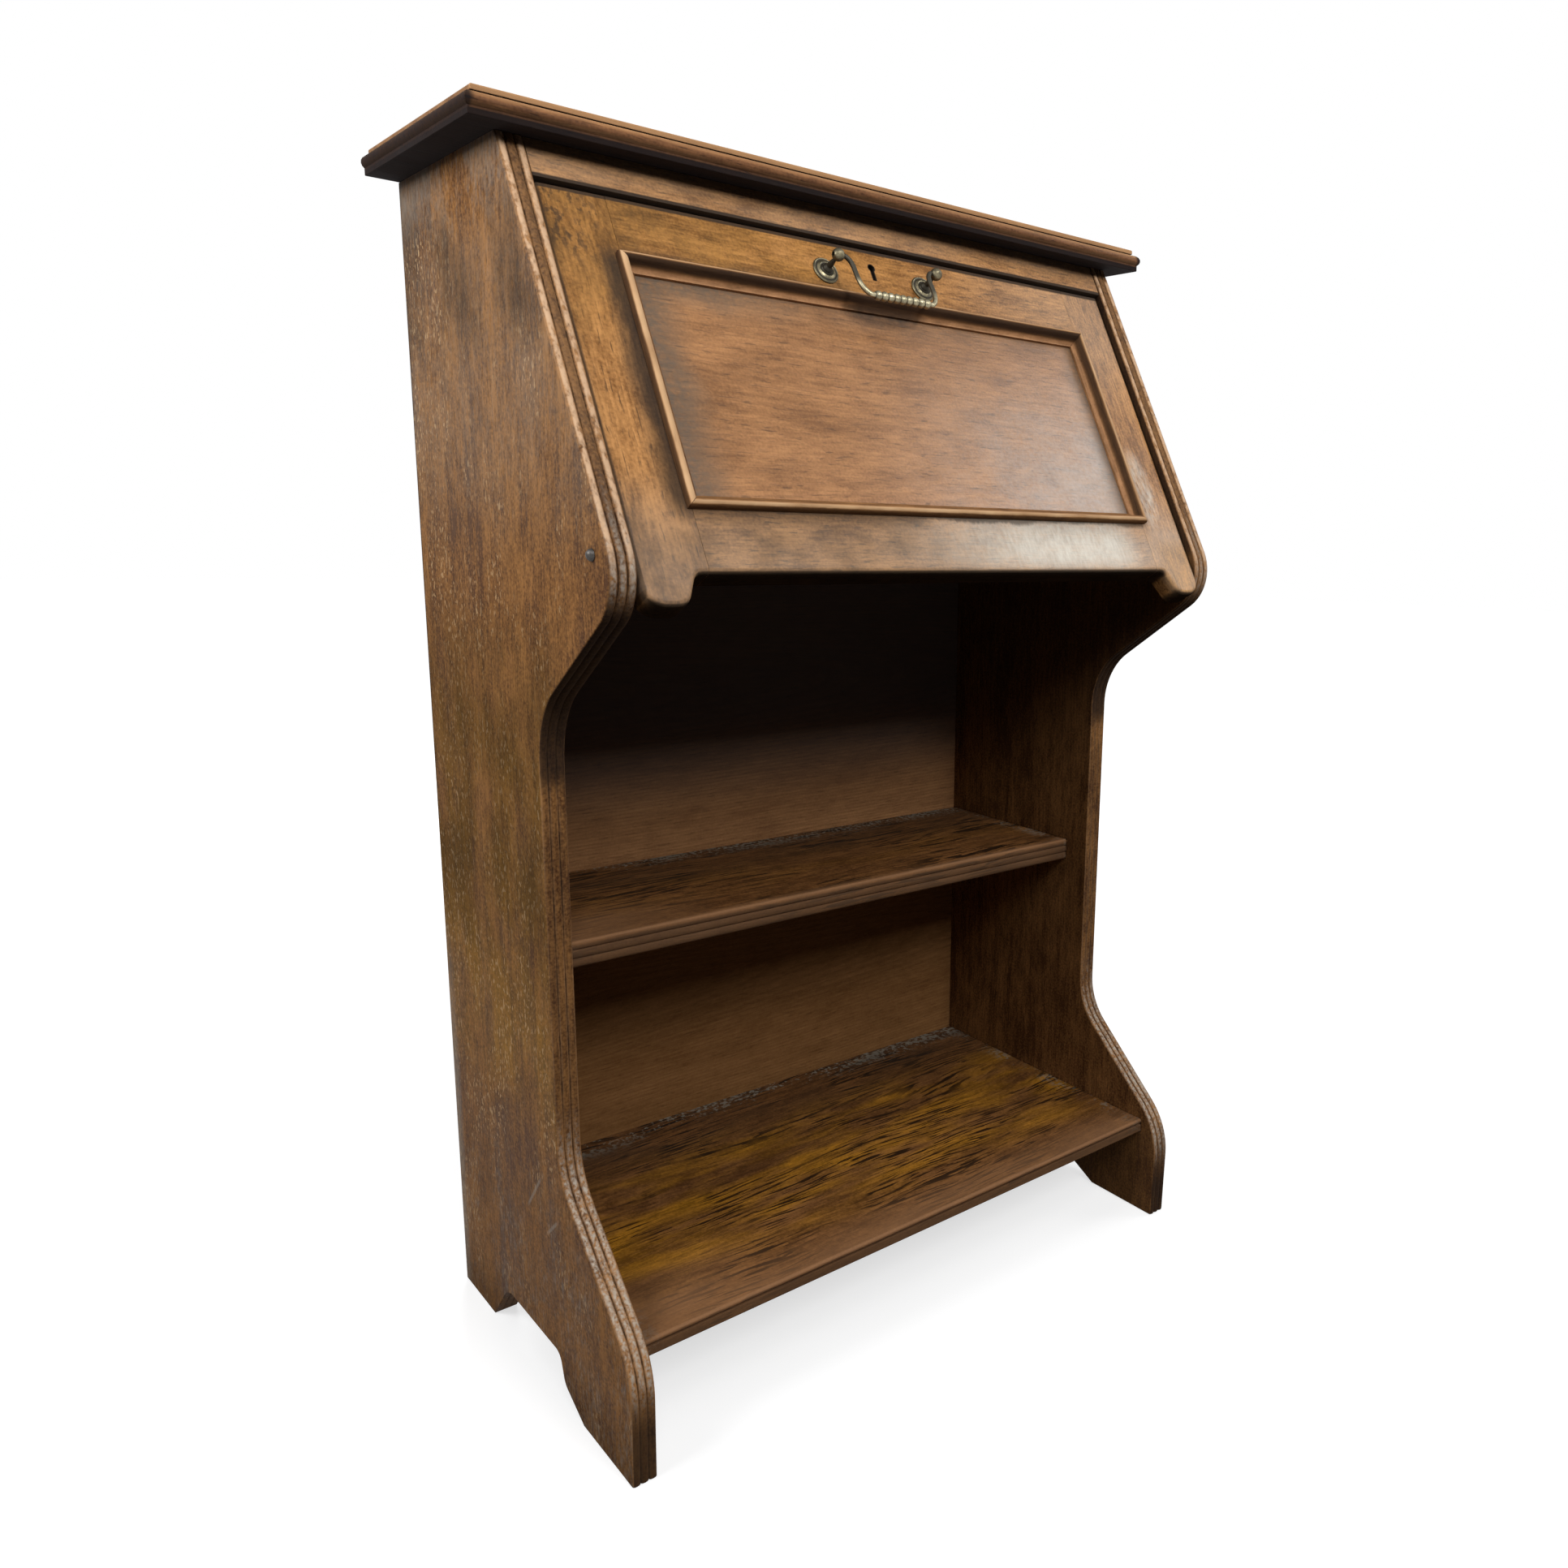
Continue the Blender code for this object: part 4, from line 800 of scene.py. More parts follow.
@dataclass
class TopAndFrieze(SubAssembly):
    """The moulded top, and the frieze rail under it."""

    top: Board = Board("top_board", Lie.FLAT, 14.0, (0.03, 0.07))
    frieze: Board = Board("frieze_rail", Lie.FALL_RAIL, 17.0, (0.2, 0.1))
    top_round_over: float = 0.0009
    fillet: float = 0.0045
    quirk: float = 0.0012
    band: float = 0.0062

    def build(self) -> None:
        """Dresses the top and the frieze rail."""
        self.dress(self.top.node, TOP_OAK.material(self.top, self.top_marks), "oak", self.top_round_over)
        self.dress(self.frieze.node, FALL_OAK.material(self.frieze, self.frieze_marks), "oak")

    def top_marks(self, surface: Surface) -> Marks:
        """A rubbed fillet, dirt and painted shade in the groove, and painted shade on the lower half of the bead,
        the lower band, the ends and the underside.

        Args:
            surface: The material's tree.

        Returns:
            The marks.
        """
        low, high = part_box(self.top.node)
        across, depth, height = surface.xyz
        down = high.z - height
        broad = surface.noise((9.0, 40.0, 40.0), 3.0, 6.0)
        ends = abs(across).smooth(high.x - 0.009, high.x - 0.003)
        # Painted shade: the lower band and the underside painted nearly black
        under = height.smooth(low.z + self.band, low.z + self.band * 0.6) * 0.96
        below = self.fillet + self.quirk
        # Dirt and painted shade in the groove
        groove = down.band(self.fillet - 0.0007, self.fillet, below, below + 0.0008)
        rubbed = depth.smooth(low.y + 0.014, low.y + 0.007).most(ends)
        fillet = down.smooth(self.fillet, self.fillet - 0.001) * rubbed
        bead = (down - self.fillet - self.quirk).smooth(0.0045, 0.0015) * (1.0 - fillet)
        # Painted shade on the lower half of the bead
        shaded_low_bead = (down - self.fillet - self.quirk).smooth(0.003, 0.010) * 0.6
        # Painted shade on the ends
        shaded_end = ends * (1.0 - fillet) * 0.9
        return Marks(
            wear=fillet * (broad * 1.4 + 0.75) + bead * (broad * 1.6 + 0.3),
            grime_and_shade=under.most(groove * 0.85, shaded_end, shaded_low_bead),
        )

    def frieze_marks(self, surface: Surface) -> Marks:
        """A dull film, painted shade towards the top under the top's overhang, and a lower edge painted black as
        the shade of the gap to the fall.

        Args:
            surface: The material's tree.

        Returns:
            The marks.
        """
        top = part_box(self.frieze.node)[1].z
        broad = surface.noise((7.0, 40.0, 40.0), 3.0, 6.0)
        # Painted shade: the lower edge black as in the gap above the fall, and darker towards the top under the
        # top's overhang
        gap_shade = (surface.on_fall[1] - span(self.frieze.node, UP_SLOPE)[0]).smooth(0.0040, 0.0024) * 0.95
        dull = surface.xyz[2].smooth(top - 0.024, top) * 0.6
        return Marks(grime_and_shade=dull.most(gap_shade), haze_and_sheen=(broad + 0.3) * 0.25)


@dataclass(frozen=True)
class Shelf(Board):
    """A shelf: how deep its front is rubbed, how dark its edge is and how golden its polish."""

    rubbed: float = 0.0
    edge_dirt: float = 0.0
    gilding: float = 0.0


@dataclass
class Shelves(SubAssembly):
    """The reeded middle shelf and the bottom shelf."""

    shelves: tuple[Shelf, ...] = (
        Shelf("middle_shelf", Lie.FLAT, 21.0, (0.02, 0.11), rubbed=0.014, edge_dirt=0.5, gilding=0.2),
        Shelf("bottom_shelf", Lie.FLAT, 27.0, (0.04, 0.09), rubbed=0.055, edge_dirt=0.4, gilding=0.85),
    )
    round_over: float = 0.0005

    def build(self) -> None:
        """Dresses both shelves."""
        for shelf in self.shelves:
            self.dress(shelf.node, SHELF_OAK.material(shelf, partial(self.marks, shelf)), "oak")

    @staticmethod
    def marks(shelf: Shelf, surface: Surface) -> Marks:
        """Rubbed towards the front, golden in the middle, dusty at the back and the ends, and painted shade
        towards the back.

        Args:
            shelf: The shelf.
            surface: The material's tree.

        Returns:
            The marks.
        """
        low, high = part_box(shelf.node)
        across, depth, height = surface.xyz
        broad = surface.noise((10.0, 30.0, 30.0), 4.0, 7.0)
        grit = surface.noise((230.0, 230.0, 230.0), 2.0, 1.0)
        corner = across.smooth(-0.1, low.x + 0.02) * depth.smooth(low.y + 0.12, low.y + 0.02)
        front = depth.smooth(low.y + shelf.rubbed, low.y).most(corner) * (broad + 0.75) * 0.6
        rim = height.smooth(high.z - 0.0032, high.z - 0.0014) * depth.smooth(low.y + 0.005, low.y + 0.002)
        back = depth.smooth(high.y - 0.042, high.y - 0.007)
        # Painted shade towards the back, deep in the bay
        rear = depth.smooth(high.y - 0.15, high.y - 0.03) * (broad * 1.5 + 0.5)
        ends = abs(across).smooth(high.x - 0.03, high.x - 0.012) * 0.6
        dust = back.most(ends) * (grit * 2.2 + broad + 0.35).smooth(0.1, 0.9)
        edge = height.smooth(high.z - 0.002, high.z - 0.005) * shelf.edge_dirt
        middle = depth.band(low.y + 0.03, low.y + 0.10, high.y - 0.14, high.y - 0.04)
        return Marks(
            wear=front.most(rim * 0.7), grime_and_shade=(dust * 0.35).most(edge, rear * 0.7),
            fleck_and_sheen=(grit + broad * 0.9).smooth(0.0, 0.22) * back.most(ends * 0.8) * 0.85,
            tint=(broad * 2.8 + 0.45).smooth(0.0, 1.0) * middle * shelf.gilding,
        )


@dataclass
class Interior(SubAssembly):
    """The back boards, the bureau floor and the fitting behind the fall."""

    boards: tuple[Board, ...] = (
        Board("back_board_upper", Lie.BACK, 31.0), Board("back_board_middle", Lie.BACK, 33.0),
        Board("back_board_lower", Lie.BACK, 35.0), Board("bureau_floor", Lie.FLAT, 37.0),
        Board("fall_stop_strip", Lie.FALL_RAIL, 39.0), Board("top_block_left", Lie.FLAT, 41.0),
        Board("top_block_right", Lie.FLAT, 42.0), Board("pigeonhole_shelf", Lie.FLAT, 43.0),
        *(Board(f"pigeonhole_divider_{number}", Lie.DEEP, 44.0 + number) for number in (1, 2, 3)),
    )
    # Heights over which the painted shade on the middle back board deepens
    painted_gloom: Ramp = (0.44, 0.57)
    round_over: float = 0.0004

    def build(self) -> None:
        """Dresses the boards."""
        looks = {"back_board_lower": (LOW_BACK_OAK, None), "back_board_middle": (BAY_OAK, self.bay_marks)}
        for board in self.boards:
            finish, marker = looks.get(board.node, (BACK_OAK, None))
            self.dress(board.node, finish.material(board, marker), "oak")

    def bay_marks(self, surface: Surface) -> Marks:
        """Painted shade on the front of the back, towards the top of the upper bay."""
        front = surface.split(surface.facing)[1].smooth(0.0, -0.5)
        return Marks(grime_and_shade=surface.xyz[2].smooth(*self.painted_gloom) * front * 0.75)


@dataclass(frozen=True)
class Rub:
    """How one length of moulding is rubbed.

    The crest is pale up to its end, as a share of the width, rubbed and partly a painted highlight, and the hollow
    after it is dark inside, with dirt and painted shade, up to its own end. The foot and the outside lap hold dirt
    of their own, and the flank may be golden.
    """

    crest: float
    crest_end: float
    hollow_end: float
    inside: float
    foot: float
    outside: float
    flank: float = 0.0


@dataclass
class Fall(SubAssembly):
    """The framed and panelled fall with its mouldings."""

    frame_boards: tuple[Board, ...] = (
        Board("fall_left_stile", Lie.FALL_STILE, 51.0, (0.12, 0.08)),
        Board("fall_right_stile", Lie.FALL_STILE, 54.0, (-0.14, 0.07)),
        Board("fall_top_rail", Lie.FALL_RAIL, 57.0, (0.16, 0.07)),
        Board("fall_bottom_rail", Lie.FALL_RAIL, 60.0, (-0.13, 0.07)),
    )
    panel: Board = Board("fall_panel", Lie.FALL_RAIL, 63.0, (-0.05, 0.055))
    mouldings: tuple[Board, ...] = (
        Board("panel_moulding_top", Lie.FALL_RAIL, 66.0),
        Board("panel_moulding_bottom", Lie.FALL_RAIL, 68.0),
        Board("panel_moulding_left", Lie.FALL_STILE, 70.0),
        Board("panel_moulding_right", Lie.FALL_STILE, 72.0),
    )
    rubs: dict[str, Rub] = field(default_factory=lambda: {
        "panel_moulding_top": Rub(0.75, 0.14, 0.58, 0.9, 0.1, 0.1, 0.8),
        "panel_moulding_bottom": Rub(0.9, 0.25, 0.8, 0.5, 0.6, 0.6),
        "panel_moulding_left": Rub(1.0, 0.42, 0.8, 0.85, 0.5, 0.75),
        "panel_moulding_right": Rub(0.8, 0.3, 0.6, 0.8, 0.15, 0.3, 0.7),
    })
    down_facing: float = -0.2
    keyhole_up: float = 0.277
    keyhole_low: float = 0.2639
    keyhole_eye: float = 0.0034
    keyhole_slot: float = 0.0018
    keyhole_rim: float = 0.0013
    # Where the painted highlight on the right stile lies, and its size
    flare_at: tuple[float, float] = (0.264, 0.066)
    flare_size: tuple[float, float] = (0.022, 0.055)
    grip_at: float = 0.002
    grip_drop: float = 0.0035
    round_over: float = 0.0005

    def build(self) -> None:
        """Dresses the frame, the panel and the mouldings."""
        for board in self.frame_boards:
            piece = self.dress(board.node, FALL_OAK.material(board, self.frame_marks), "oak")
            self.dull_below(piece, board)
        self.dress(self.panel.node, PANEL_OAK.material(self.panel, self.panel_marks), "oak")
        for board in self.mouldings:
            material = MOULDING_OAK.material(board, partial(self.moulding_marks, board.node))
            self.dress(board.node, material, "oak", 0.0)

    def dull_below(self, piece: Object, board: Board) -> None:
        """Gives the faces that look down the slope a finish without gloss.

        Args:
            piece: The dressed board.
            board: What it is made from.
        """
        matt = replace(FALL_OAK, specular=0.0)
        piece.data.materials.append(matt.material(board, self.frame_marks, "_matt"))
        for face in piece.data.polygons:
            if face.normal.dot(Vector(UP_SLOPE)) < self.down_facing:
                face.material_index = 1

    @cached_property
    def ring(self) -> Zone:
        """The outer edges of the ring of mouldings: left, right, bottom and top."""
        left, right = span("panel_moulding_left", ALONG_X)[0], span("panel_moulding_right", ALONG_X)[1]
        return left, right, *span("panel_moulding_left", UP_SLOPE)

    @cached_property
    def ring_width(self) -> float:
        """The width of the mouldings."""
        left, right = span("panel_moulding_left", ALONG_X)
        return right - left

    @cached_property
    def reach(self) -> tuple[float, float]:
        """How far the fall reaches to the side and up the slope."""
        return span("fall_right_stile", ALONG_X)[1], span("fall_top_rail", UP_SLOPE)[1]

    def inward(self, surface: Surface, inset: float = 0.0) -> dict[str, Value]:
        """How far the point lies inside each edge of the ring of mouldings.

        Args:
            surface: The material's tree.
            inset: How far in the edges are moved first.

        Returns:
            The measures, by the nodes of the mouldings.
        """
        across, up, _ = surface.on_fall
        left, right, bottom, top = self.ring
        return {
            "panel_moulding_left": across - (left + inset), "panel_moulding_right": (right - inset) - across,
            "panel_moulding_bottom": up - (bottom + inset), "panel_moulding_top": (top - inset) - up,
        }

    def frame_marks(self, surface: Surface) -> Marks:
        """Black dirt outside the moulding, painted shade along the edges, under the bottom moulding and at the
        upper left, a painted sheen and highlight at the lower right, and a mottled upper left corner.

        Args:
            surface: The material's tree.

        Returns:
            The marks.
        """
        left, right, bottom, top = self.ring
        across, up, out = surface.on_fall
        inward = self.inward(surface)
        broad = surface.noise((30.0, 30.0, 30.0), 3.0, 3.0)
        grit = surface.noise((300.0, 120.0, 120.0), 3.0, 8.0)
        front = out.smooth(0.003, 0.012)
        upper = up.smooth((bottom + top) / 2, top)

        # Dirt round the mouldings and on the inner face, a dull film at the lower left, and painted shade along
        # the edges, under the bottom moulding and at the upper left
        beside = up.band(bottom - 0.03, bottom + 0.01, top - 0.01, top + 0.02)
        level = across.band(left - 0.01, left + 0.01, right - 0.01, right + 0.01)
        shaky = broad * 0.012 + grit * 0.006
        dirt_left = (inward["panel_moulding_left"] + shaky).smooth(-0.026, -0.004) * beside * 0.88
        dirt_right = (inward["panel_moulding_right"] + shaky).smooth(-0.010, -0.001) * beside * 0.25
        dirt_top = (inward["panel_moulding_top"] + shaky).smooth(-0.007, -0.001) * level * upper * 0.25
        # Dirt below the bottom moulding, with its painted contact shadow
        dirt_and_shadow_bottom = (inward["panel_moulding_bottom"] + shaky).smooth(-0.007, -0.001) * level * (1.0 - upper)
        dirt = (dirt_left * across.smooth(0.0, -0.05)).most(dirt_right * across.smooth(0.0, 0.05), dirt_top)
        corner = across.smooth(left + 0.03, left - 0.03) * up.smooth(top - 0.06, top + 0.02)
        curls = surface.noise((190.0, 130.0, 130.0), 3.0, 17.0)
        mottled = (curls * 1.8 + broad * 0.6 + grit * 0.6).smooth(-0.16, 0.24) * corner * 0.78
        # A dull film at the lower left, and painted shade at the upper left
        low_film_and_upper_shade = up.smooth(0.07, 0.0) * across.smooth(0.1, -0.1) * (broad + 0.36)
        low_film_and_upper_shade = low_film_and_upper_shade.most(upper * across.smooth(0.0, -0.26) * (broad + grit * 0.5 + 0.32))
        side, head = self.reach
        # Painted shade along the top edge and the side edges, as in the gaps round the fall
        gap_shade = up.smooth(head - 0.0042, head - 0.0026) * front * 0.92
        sides = abs(across).smooth(side - 0.0042, side - 0.0022) * 0.8
        used = (broad * 1.6 + grit * 0.8).smooth(0.0, 0.3) * (1.0 - front) * 0.25
        dirt = dirt.most(dirt_and_shadow_bottom * 0.75, mottled, low_film_and_upper_shade) * front

        # The painted pale sheen and highlight at the lower right, painted pale light low down and at the upper
        # right, and the golden polish at the upper left
        # Painted sheen: a pale reflection along the bottom rail and the lower right, with a painted highlight on
        # the right stile
        sheen = across.smooth(-0.12, 0.14) * up.smooth(0.09, 0.01) * up.smooth(-0.03, -0.005)
        sheen = sheen * across.smooth(0.25, 0.19).most(0.2) * (broad * 0.8 + grit * 0.8 + 0.8)
        (flare_x, flare_up), (flare_width, flare_height) = self.flare_at, self.flare_size
        flare = ((across - flare_x) / flare_width) ** 2.0 + ((up - flare_up) / flare_height) ** 2.0
        ear = up.smooth(0.02, -0.004) * across.smooth(0.24, 0.27)
        sheen = sheen.most(flare.smooth(1.0, 0.0) * (grit * 1.4 + broad + 0.4)) * (1.0 - ear)
        bloom_highlight = up.smooth(0.07, -0.02) * 0.17 + across.smooth(0.05, 0.24) * upper * 0.12
        gold = (upper * across.smooth(0.16, -0.14) * (broad * 1.5 + 0.65)).most(ear)
        # Painted shade on the edges, round the keyhole and on the lower edges goes in with the dirt
        return Marks(
            grime_and_shade=dirt.most(gap_shade, sides, self.keyhole_shade_and_dirt(surface), self.shaded_lower_edge(surface) * 0.9, used),
            haze_and_sheen=(bloom_highlight + sheen * 0.8).most(0.0) * front, tint=gold.most(0.0).least(1.0) * front * 0.6,
        )

    @staticmethod
    def shaded_lower_edge(surface: Surface) -> Value:
        """Finds where the surface turns down the slope, as on the rounded lower edges, which get painted shade.

        Args:
            surface: The material's tree.

        Returns:
            The share, from 0 to 1.
        """
        sockets = {0: surface.facing, 1: UP_SLOPE}
        turned = surface.node("ShaderNodeVectorMath", {"operation": "DOT_PRODUCT"}, sockets, "Value")
        return turned.smooth(-0.25, -0.8)

    def keyhole_shade_and_dirt(self, surface: Surface) -> Value:
        """The keyhole widened with painted shade, the dark of the hole, and the worn rim round it.

        Args:
            surface: The material's tree.

        Returns:
            The share, from 0 to 1.
        """
        across, up, _ = surface.on_fall
        eye = (across ** 2.0 + (up - self.keyhole_up) ** 2.0) ** 0.5
        drop = (self.keyhole_up - up).smooth(-0.001, 0.001) * (up - self.keyhole_low).smooth(-0.0006, 0.0004)
        slot = abs(across).smooth(self.keyhole_slot + self.keyhole_rim, self.keyhole_slot) * drop
        return eye.smooth(self.keyhole_eye + self.keyhole_rim, self.keyhole_eye).most(slot)

    def panel_marks(self, surface: Surface) -> Marks:
        """Dark lines and grey dirt along the moulding, a painted shadow below the grip, a painted pale sheen at
        the lower right and ink inside.

        Args:
            surface: The material's tree.

        Returns:
            The marks.
        """
        across, up, out = surface.on_fall
        left, right, bottom, top = self.inward(surface, self.ring_width).values()
        broad = surface.noise((24.0, 24.0, 24.0), 3.0, 3.0)
        grit = surface.noise((220.0, 260.0, 260.0), 3.0, 8.0)
        shaky = broad * 0.03 + grit * 0.02
        film_left = (left + shaky).smooth(0.045, 0.004) * 0.72
        film_top = (top + shaky * 0.8).smooth(0.030, 0.002) * across.smooth(0.0, -0.2).most(0.35) * 0.7
        film_right = (right + shaky * 0.6).smooth(0.028, 0.002) * 0.5
        film = film_left.most(film_top, film_right) * (grit * 1.8 + 0.9)
        line = left.least(right, top, bottom + 0.0015).smooth(0.0045, 0.0005) * 0.3
        # Painted pale sheen at the lower right
        bloom_highlight = across.smooth(-0.1, 0.24) * up.smooth(0.25, 0.05) * (broad * 0.6 + grit * 0.6 + 0.5)
        front = out.smooth(0.0, 0.006)
        ink = surface.noise((70.0, 70.0, 70.0), 4.0, 19.0) + broad * 0.5
        ink = ink.smooth(0.2, 0.23) * across.smooth(0.0, 0.1) * (1.0 - front) * 0.7
        return Marks(
            grime_and_shade=(line.most(self.grip_shadow(surface)) * front).most(ink), haze_and_sheen=film.most(0.0) * front,
            fleck_and_sheen=bloom_highlight.most(0.0) * front * 0.8,
        )

    def grip_shadow(self, surface: Surface) -> Value:
        """A painted shadow below the handle's grip.

        Args:
            surface: The material's tree.

        Returns:
            The share, from 0 to 1.
        """
        across, up, _ = surface.on_fall
        ragged = surface.noise((90.0, 60.0, 60.0), 2.0, 15.0) * 0.01
        level = span("panel_moulding_top", UP_SLOPE)[0] + self.grip_drop
        wide = (abs(across - self.grip_at) + ragged).smooth(0.058, 0.026)
        return wide * (abs(up - level) + ragged).smooth(0.0095, 0.0025) * 0.85

    def moulding_marks(self, node: str, surface: Surface) -> Marks:
        """A narrow rubbed crest that is partly a painted highlight, with dirt on both sides of it and painted
        shade in the hollow.

        Args:
            node: The length of moulding.
            surface: The material's tree.

        Returns:
            The marks.
        """
        rub = self.rubs[node]
        broad = surface.noise((26.0, 26.0, 26.0), 3.0, 5.0)
        share = self.inward(surface)[node] / self.ring_width + broad * 0.08
        # The crest: wear with a painted highlight; the hollow: dirt with painted shade
        crest = share.band(0.04, 0.14, rub.crest_end, rub.crest_end + 0.14)
        hollow = share.smooth(rub.crest_end + 0.04, rub.crest_end + 0.2)
        hollow = hollow * share.smooth(rub.hollow_end + 0.22, rub.hollow_end).most(rub.foot)
        lap = share.smooth(0.12, 0.02) * rub.outside
        flank = share.smooth(rub.hollow_end + 0.04, rub.hollow_end + 0.2) * rub.flank
        return Marks(
            wear=crest * (broad * 1.6 + 0.75) * rub.crest, tint=flank,
            grime_and_shade=(hollow * rub.inside).most(lap, self.grip_shadow(surface)),
        )


@dataclass
class Handle(SubAssembly):
    """The swan-neck handle: roses, posts, nuts and the bail, which a node tree draws along its line."""

    drop: float = 0.0375
    shoulder: float = 0.0118
    bend: tuple[tuple[float, float], ...] = (
        (-0.16, 0.09), (-0.01, 0.24), (0.0, 0.45), (0.04, 0.67), (0.25, 0.86), (0.62, 0.98),
    )
    grip_half: float = 0.03
    bow: float = 0.003
    pin_radius: float = 0.0016
    arm_radius: float = 0.0021
    grip_radius: float = 0.0024
    bead_height: float = 0.0018
    bead_fullness: float = 0.7
    beads: int = 9
    ball: float = 0.0056
    eye_clearance: float = 0.0004
    steps: int = 12
    sides: int = 20
    rings: int = 320
    round_over: float = 0.0

    def build(self) -> None:
        """Dresses the roses, posts and nuts, and draws the bail."""
        for hand in ("left", "right"):
            for part in ("rose", "post", "nut"):
                node = f"handle_{part}_{hand}"
                hollow = {"rose": partial(self.rose_hollows, node), "post": self.post_hollows}.get(part)
                self.dress(node, BRASS.material(f"brass_{node}", hollow), "brass")
        self.draw_bail()

    @cached_property
    def post_at(self) -> float:
        """How far each post stands from the middle."""
        low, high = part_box("handle_rose_right")
        return (low.x + high.x) / 2

    @cached_property
    def pin_end(self) -> float:
        """Where the bail's pins meet its arms."""
        return self.post_at - self.ball - self.eye_clearance

    @staticmethod
    def rose_hollows(node: str, surface: Surface) -> Value:
        """Patina in the two rings of a rose.

        Args:
            node: The rose.
            surface: The material's tree.

        Returns:
            The share, from 0 to 1.
        """
        low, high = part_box(node)
        across, up, _ = surface.split(surface.laid(Lie.FALL_RAIL, (low + high) / 2))
        share = (across ** 2.0 + up ** 2.0) ** 0.5 / ((high.x - low.x) / 2)
        return share.band(0.66, 0.76, 0.84, 0.93).most(share.smooth(0.60, 0.48)) * 0.95

    @staticmethod
    def post_hollows(surface: Surface) -> Value:
        """Patina on the stem of a post, up to its rubbed end."""
        end = span("handle_post_left", OUT_OF_SLOPE)[1]
        return surface.on_fall[2].smooth(end - 0.004, end - 0.012) * 0.95

    def bail_line(self) -> list[Vector]:
        """The bail's centre line, from the left pin to the right one, hanging from its axis.

        Returns:
            The points, in the bureau's frame.
        """
        neck = self.post_at - self.shoulder
        half = [(self.post_at + self.ball / 2, 0.0), (self.pin_end, 0.0)]
        half += [(neck - inward * self.shoulder, down * self.drop) for inward, down in self.bend]
        half.append((self.grip_half, self.drop))
        bends = [Vector((-x, self.bow * drop / self.drop, -drop)) for x, drop in half]
        left = bends[:1] + self.smooth_line(bends)[self.steps:]
        right = [Vector((-point.x, point.y, point.z)) for point in reversed(left)]
        up, out = Vector(UP_SLOPE), Vector(OUT_OF_SLOPE)
        return [BAIL_AXIS + Vector((p.x, 0.0, 0.0)) + p.z * up + p.y * out for p in left + right]

    def smooth_line(self, points: list[Vector]) -> list[Vector]:
        """Points on a smooth curve through the given ones.

        Args:
            points: The points to pass through.

        Returns:
            The curve's points.
        """
        ends = [2 * points[0] - points[1], *points, 2 * points[-1] - points[-2]]
        line = []
        for a, b, c, d in zip(ends, ends[1:], ends[2:], ends[3:]):
            for k in range(self.steps):
                t = k / self.steps
                bend = (2 * a - 5 * b + 4 * c - d) * t ** 2 + (3 * b - a - 3 * c + d) * t ** 3
                line.append(b + ((c - a) * t + bend) / 2)
        return line + [points[-1]]

    def draw_bail(self) -> None:
        """Makes the bail as a tube whose radius follows the pins, the arms and the beads of the grip."""
        line = self.bail_line()
        mesh = bpy.data.meshes.new("bail_line")
        mesh.from_pydata(line, [(i, i + 1) for i in range(len(line) - 1)], [])
        bail = new_object("brass_handle_bail", mesh)
        tree = GeometryTree("swan_neck_bail")
        pin, arm, grip, bead, half, beads, inner = (tree.size(name, value) for name, value in (
            ("Pin Radius", self.pin_radius), ("Arm Radius", self.arm_radius),
            ("Grip Radius", self.grip_radius), ("Bead Height", self.bead_height),
            ("Grip Half", self.grip_half), ("Beads", float(self.beads)), ("Pin Inner", self.pin_end)))
        curve = tree.node("GeometryNodeMeshToCurve", sockets={"Mesh": tree.geometry})
        sockets = {"Curve": curve, "Count": self.rings}
        curve = tree.node("GeometryNodeResampleCurve", {"mode": "COUNT"}, sockets)
        signed = tree.split(tree.node("GeometryNodeInputPosition"))[0]
        across = abs(signed)
        wave = abs((((signed / half + 1.0) / 2.0) * beads * math.pi).sine()) ** self.bead_fullness
        taper = ((inner - across) / (inner - half)).most(0.0).least(1.0)
        body = arm + (grip - arm) * taper ** 2.0 + half.above(across) * wave * bead
        radius = body + across.above(inner) * (pin - body)
        sockets = {"Resolution": self.sides, "Radius": 1.0}
        ring = tree.node("GeometryNodeCurvePrimitiveCircle", {"mode": "RADIUS"}, sockets)
        sockets = {"Curve": curve, "Profile Curve": ring, "Scale": radius, "Fill Caps": True}
        tube = tree.node("GeometryNodeCurveToMesh", sockets=sockets)
        tube = tree.node("GeometryNodeSetShadeSmooth", sockets={"Geometry": tube})
        tree.apply(bail, tube, RUBBED_BRASS.material("brass_handle_bail", self.bead_hollows))
        self.register(bail, "bail", SLOT_OF["handle_bail"])
        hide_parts("handle_bail")

    def bead_hollows(self, surface: Surface) -> Value:
        """Patina between the beads of the grip, and the upper arms darker.

        Args:
            surface: The material's tree.

        Returns:
            The share, from 0 to 1.
        """
        across = abs(surface.xyz[0])
        share = (surface.xyz[0] / self.grip_half + 1.0) / 2.0 * self.beads
        up = surface.split(surface.laid(Lie.FALL_RAIL, BAIL_AXIS))[1]
        arms = across.smooth(self.grip_half, self.grip_half + 0.004) * up.smooth(-0.037, -0.02) * 0.95
        valleys = abs(share.fraction() - 0.5).smooth(0.34, 0.48) * 0.95
        return (valleys * across.smooth(self.grip_half + 0.002, self.grip_half)).most(arms)


@dataclass
class Lock(SubAssembly):
    """The lock, its bolt and keeper."""

    round_over: float = 0.0003

    def build(self) -> None:
        """Dresses the lock's pieces."""
        for node in ("lock_case", "lock_bolt", "lock_keeper"):
            self.dress(node, BRASS.material(f"brass_{node}"), "brass")


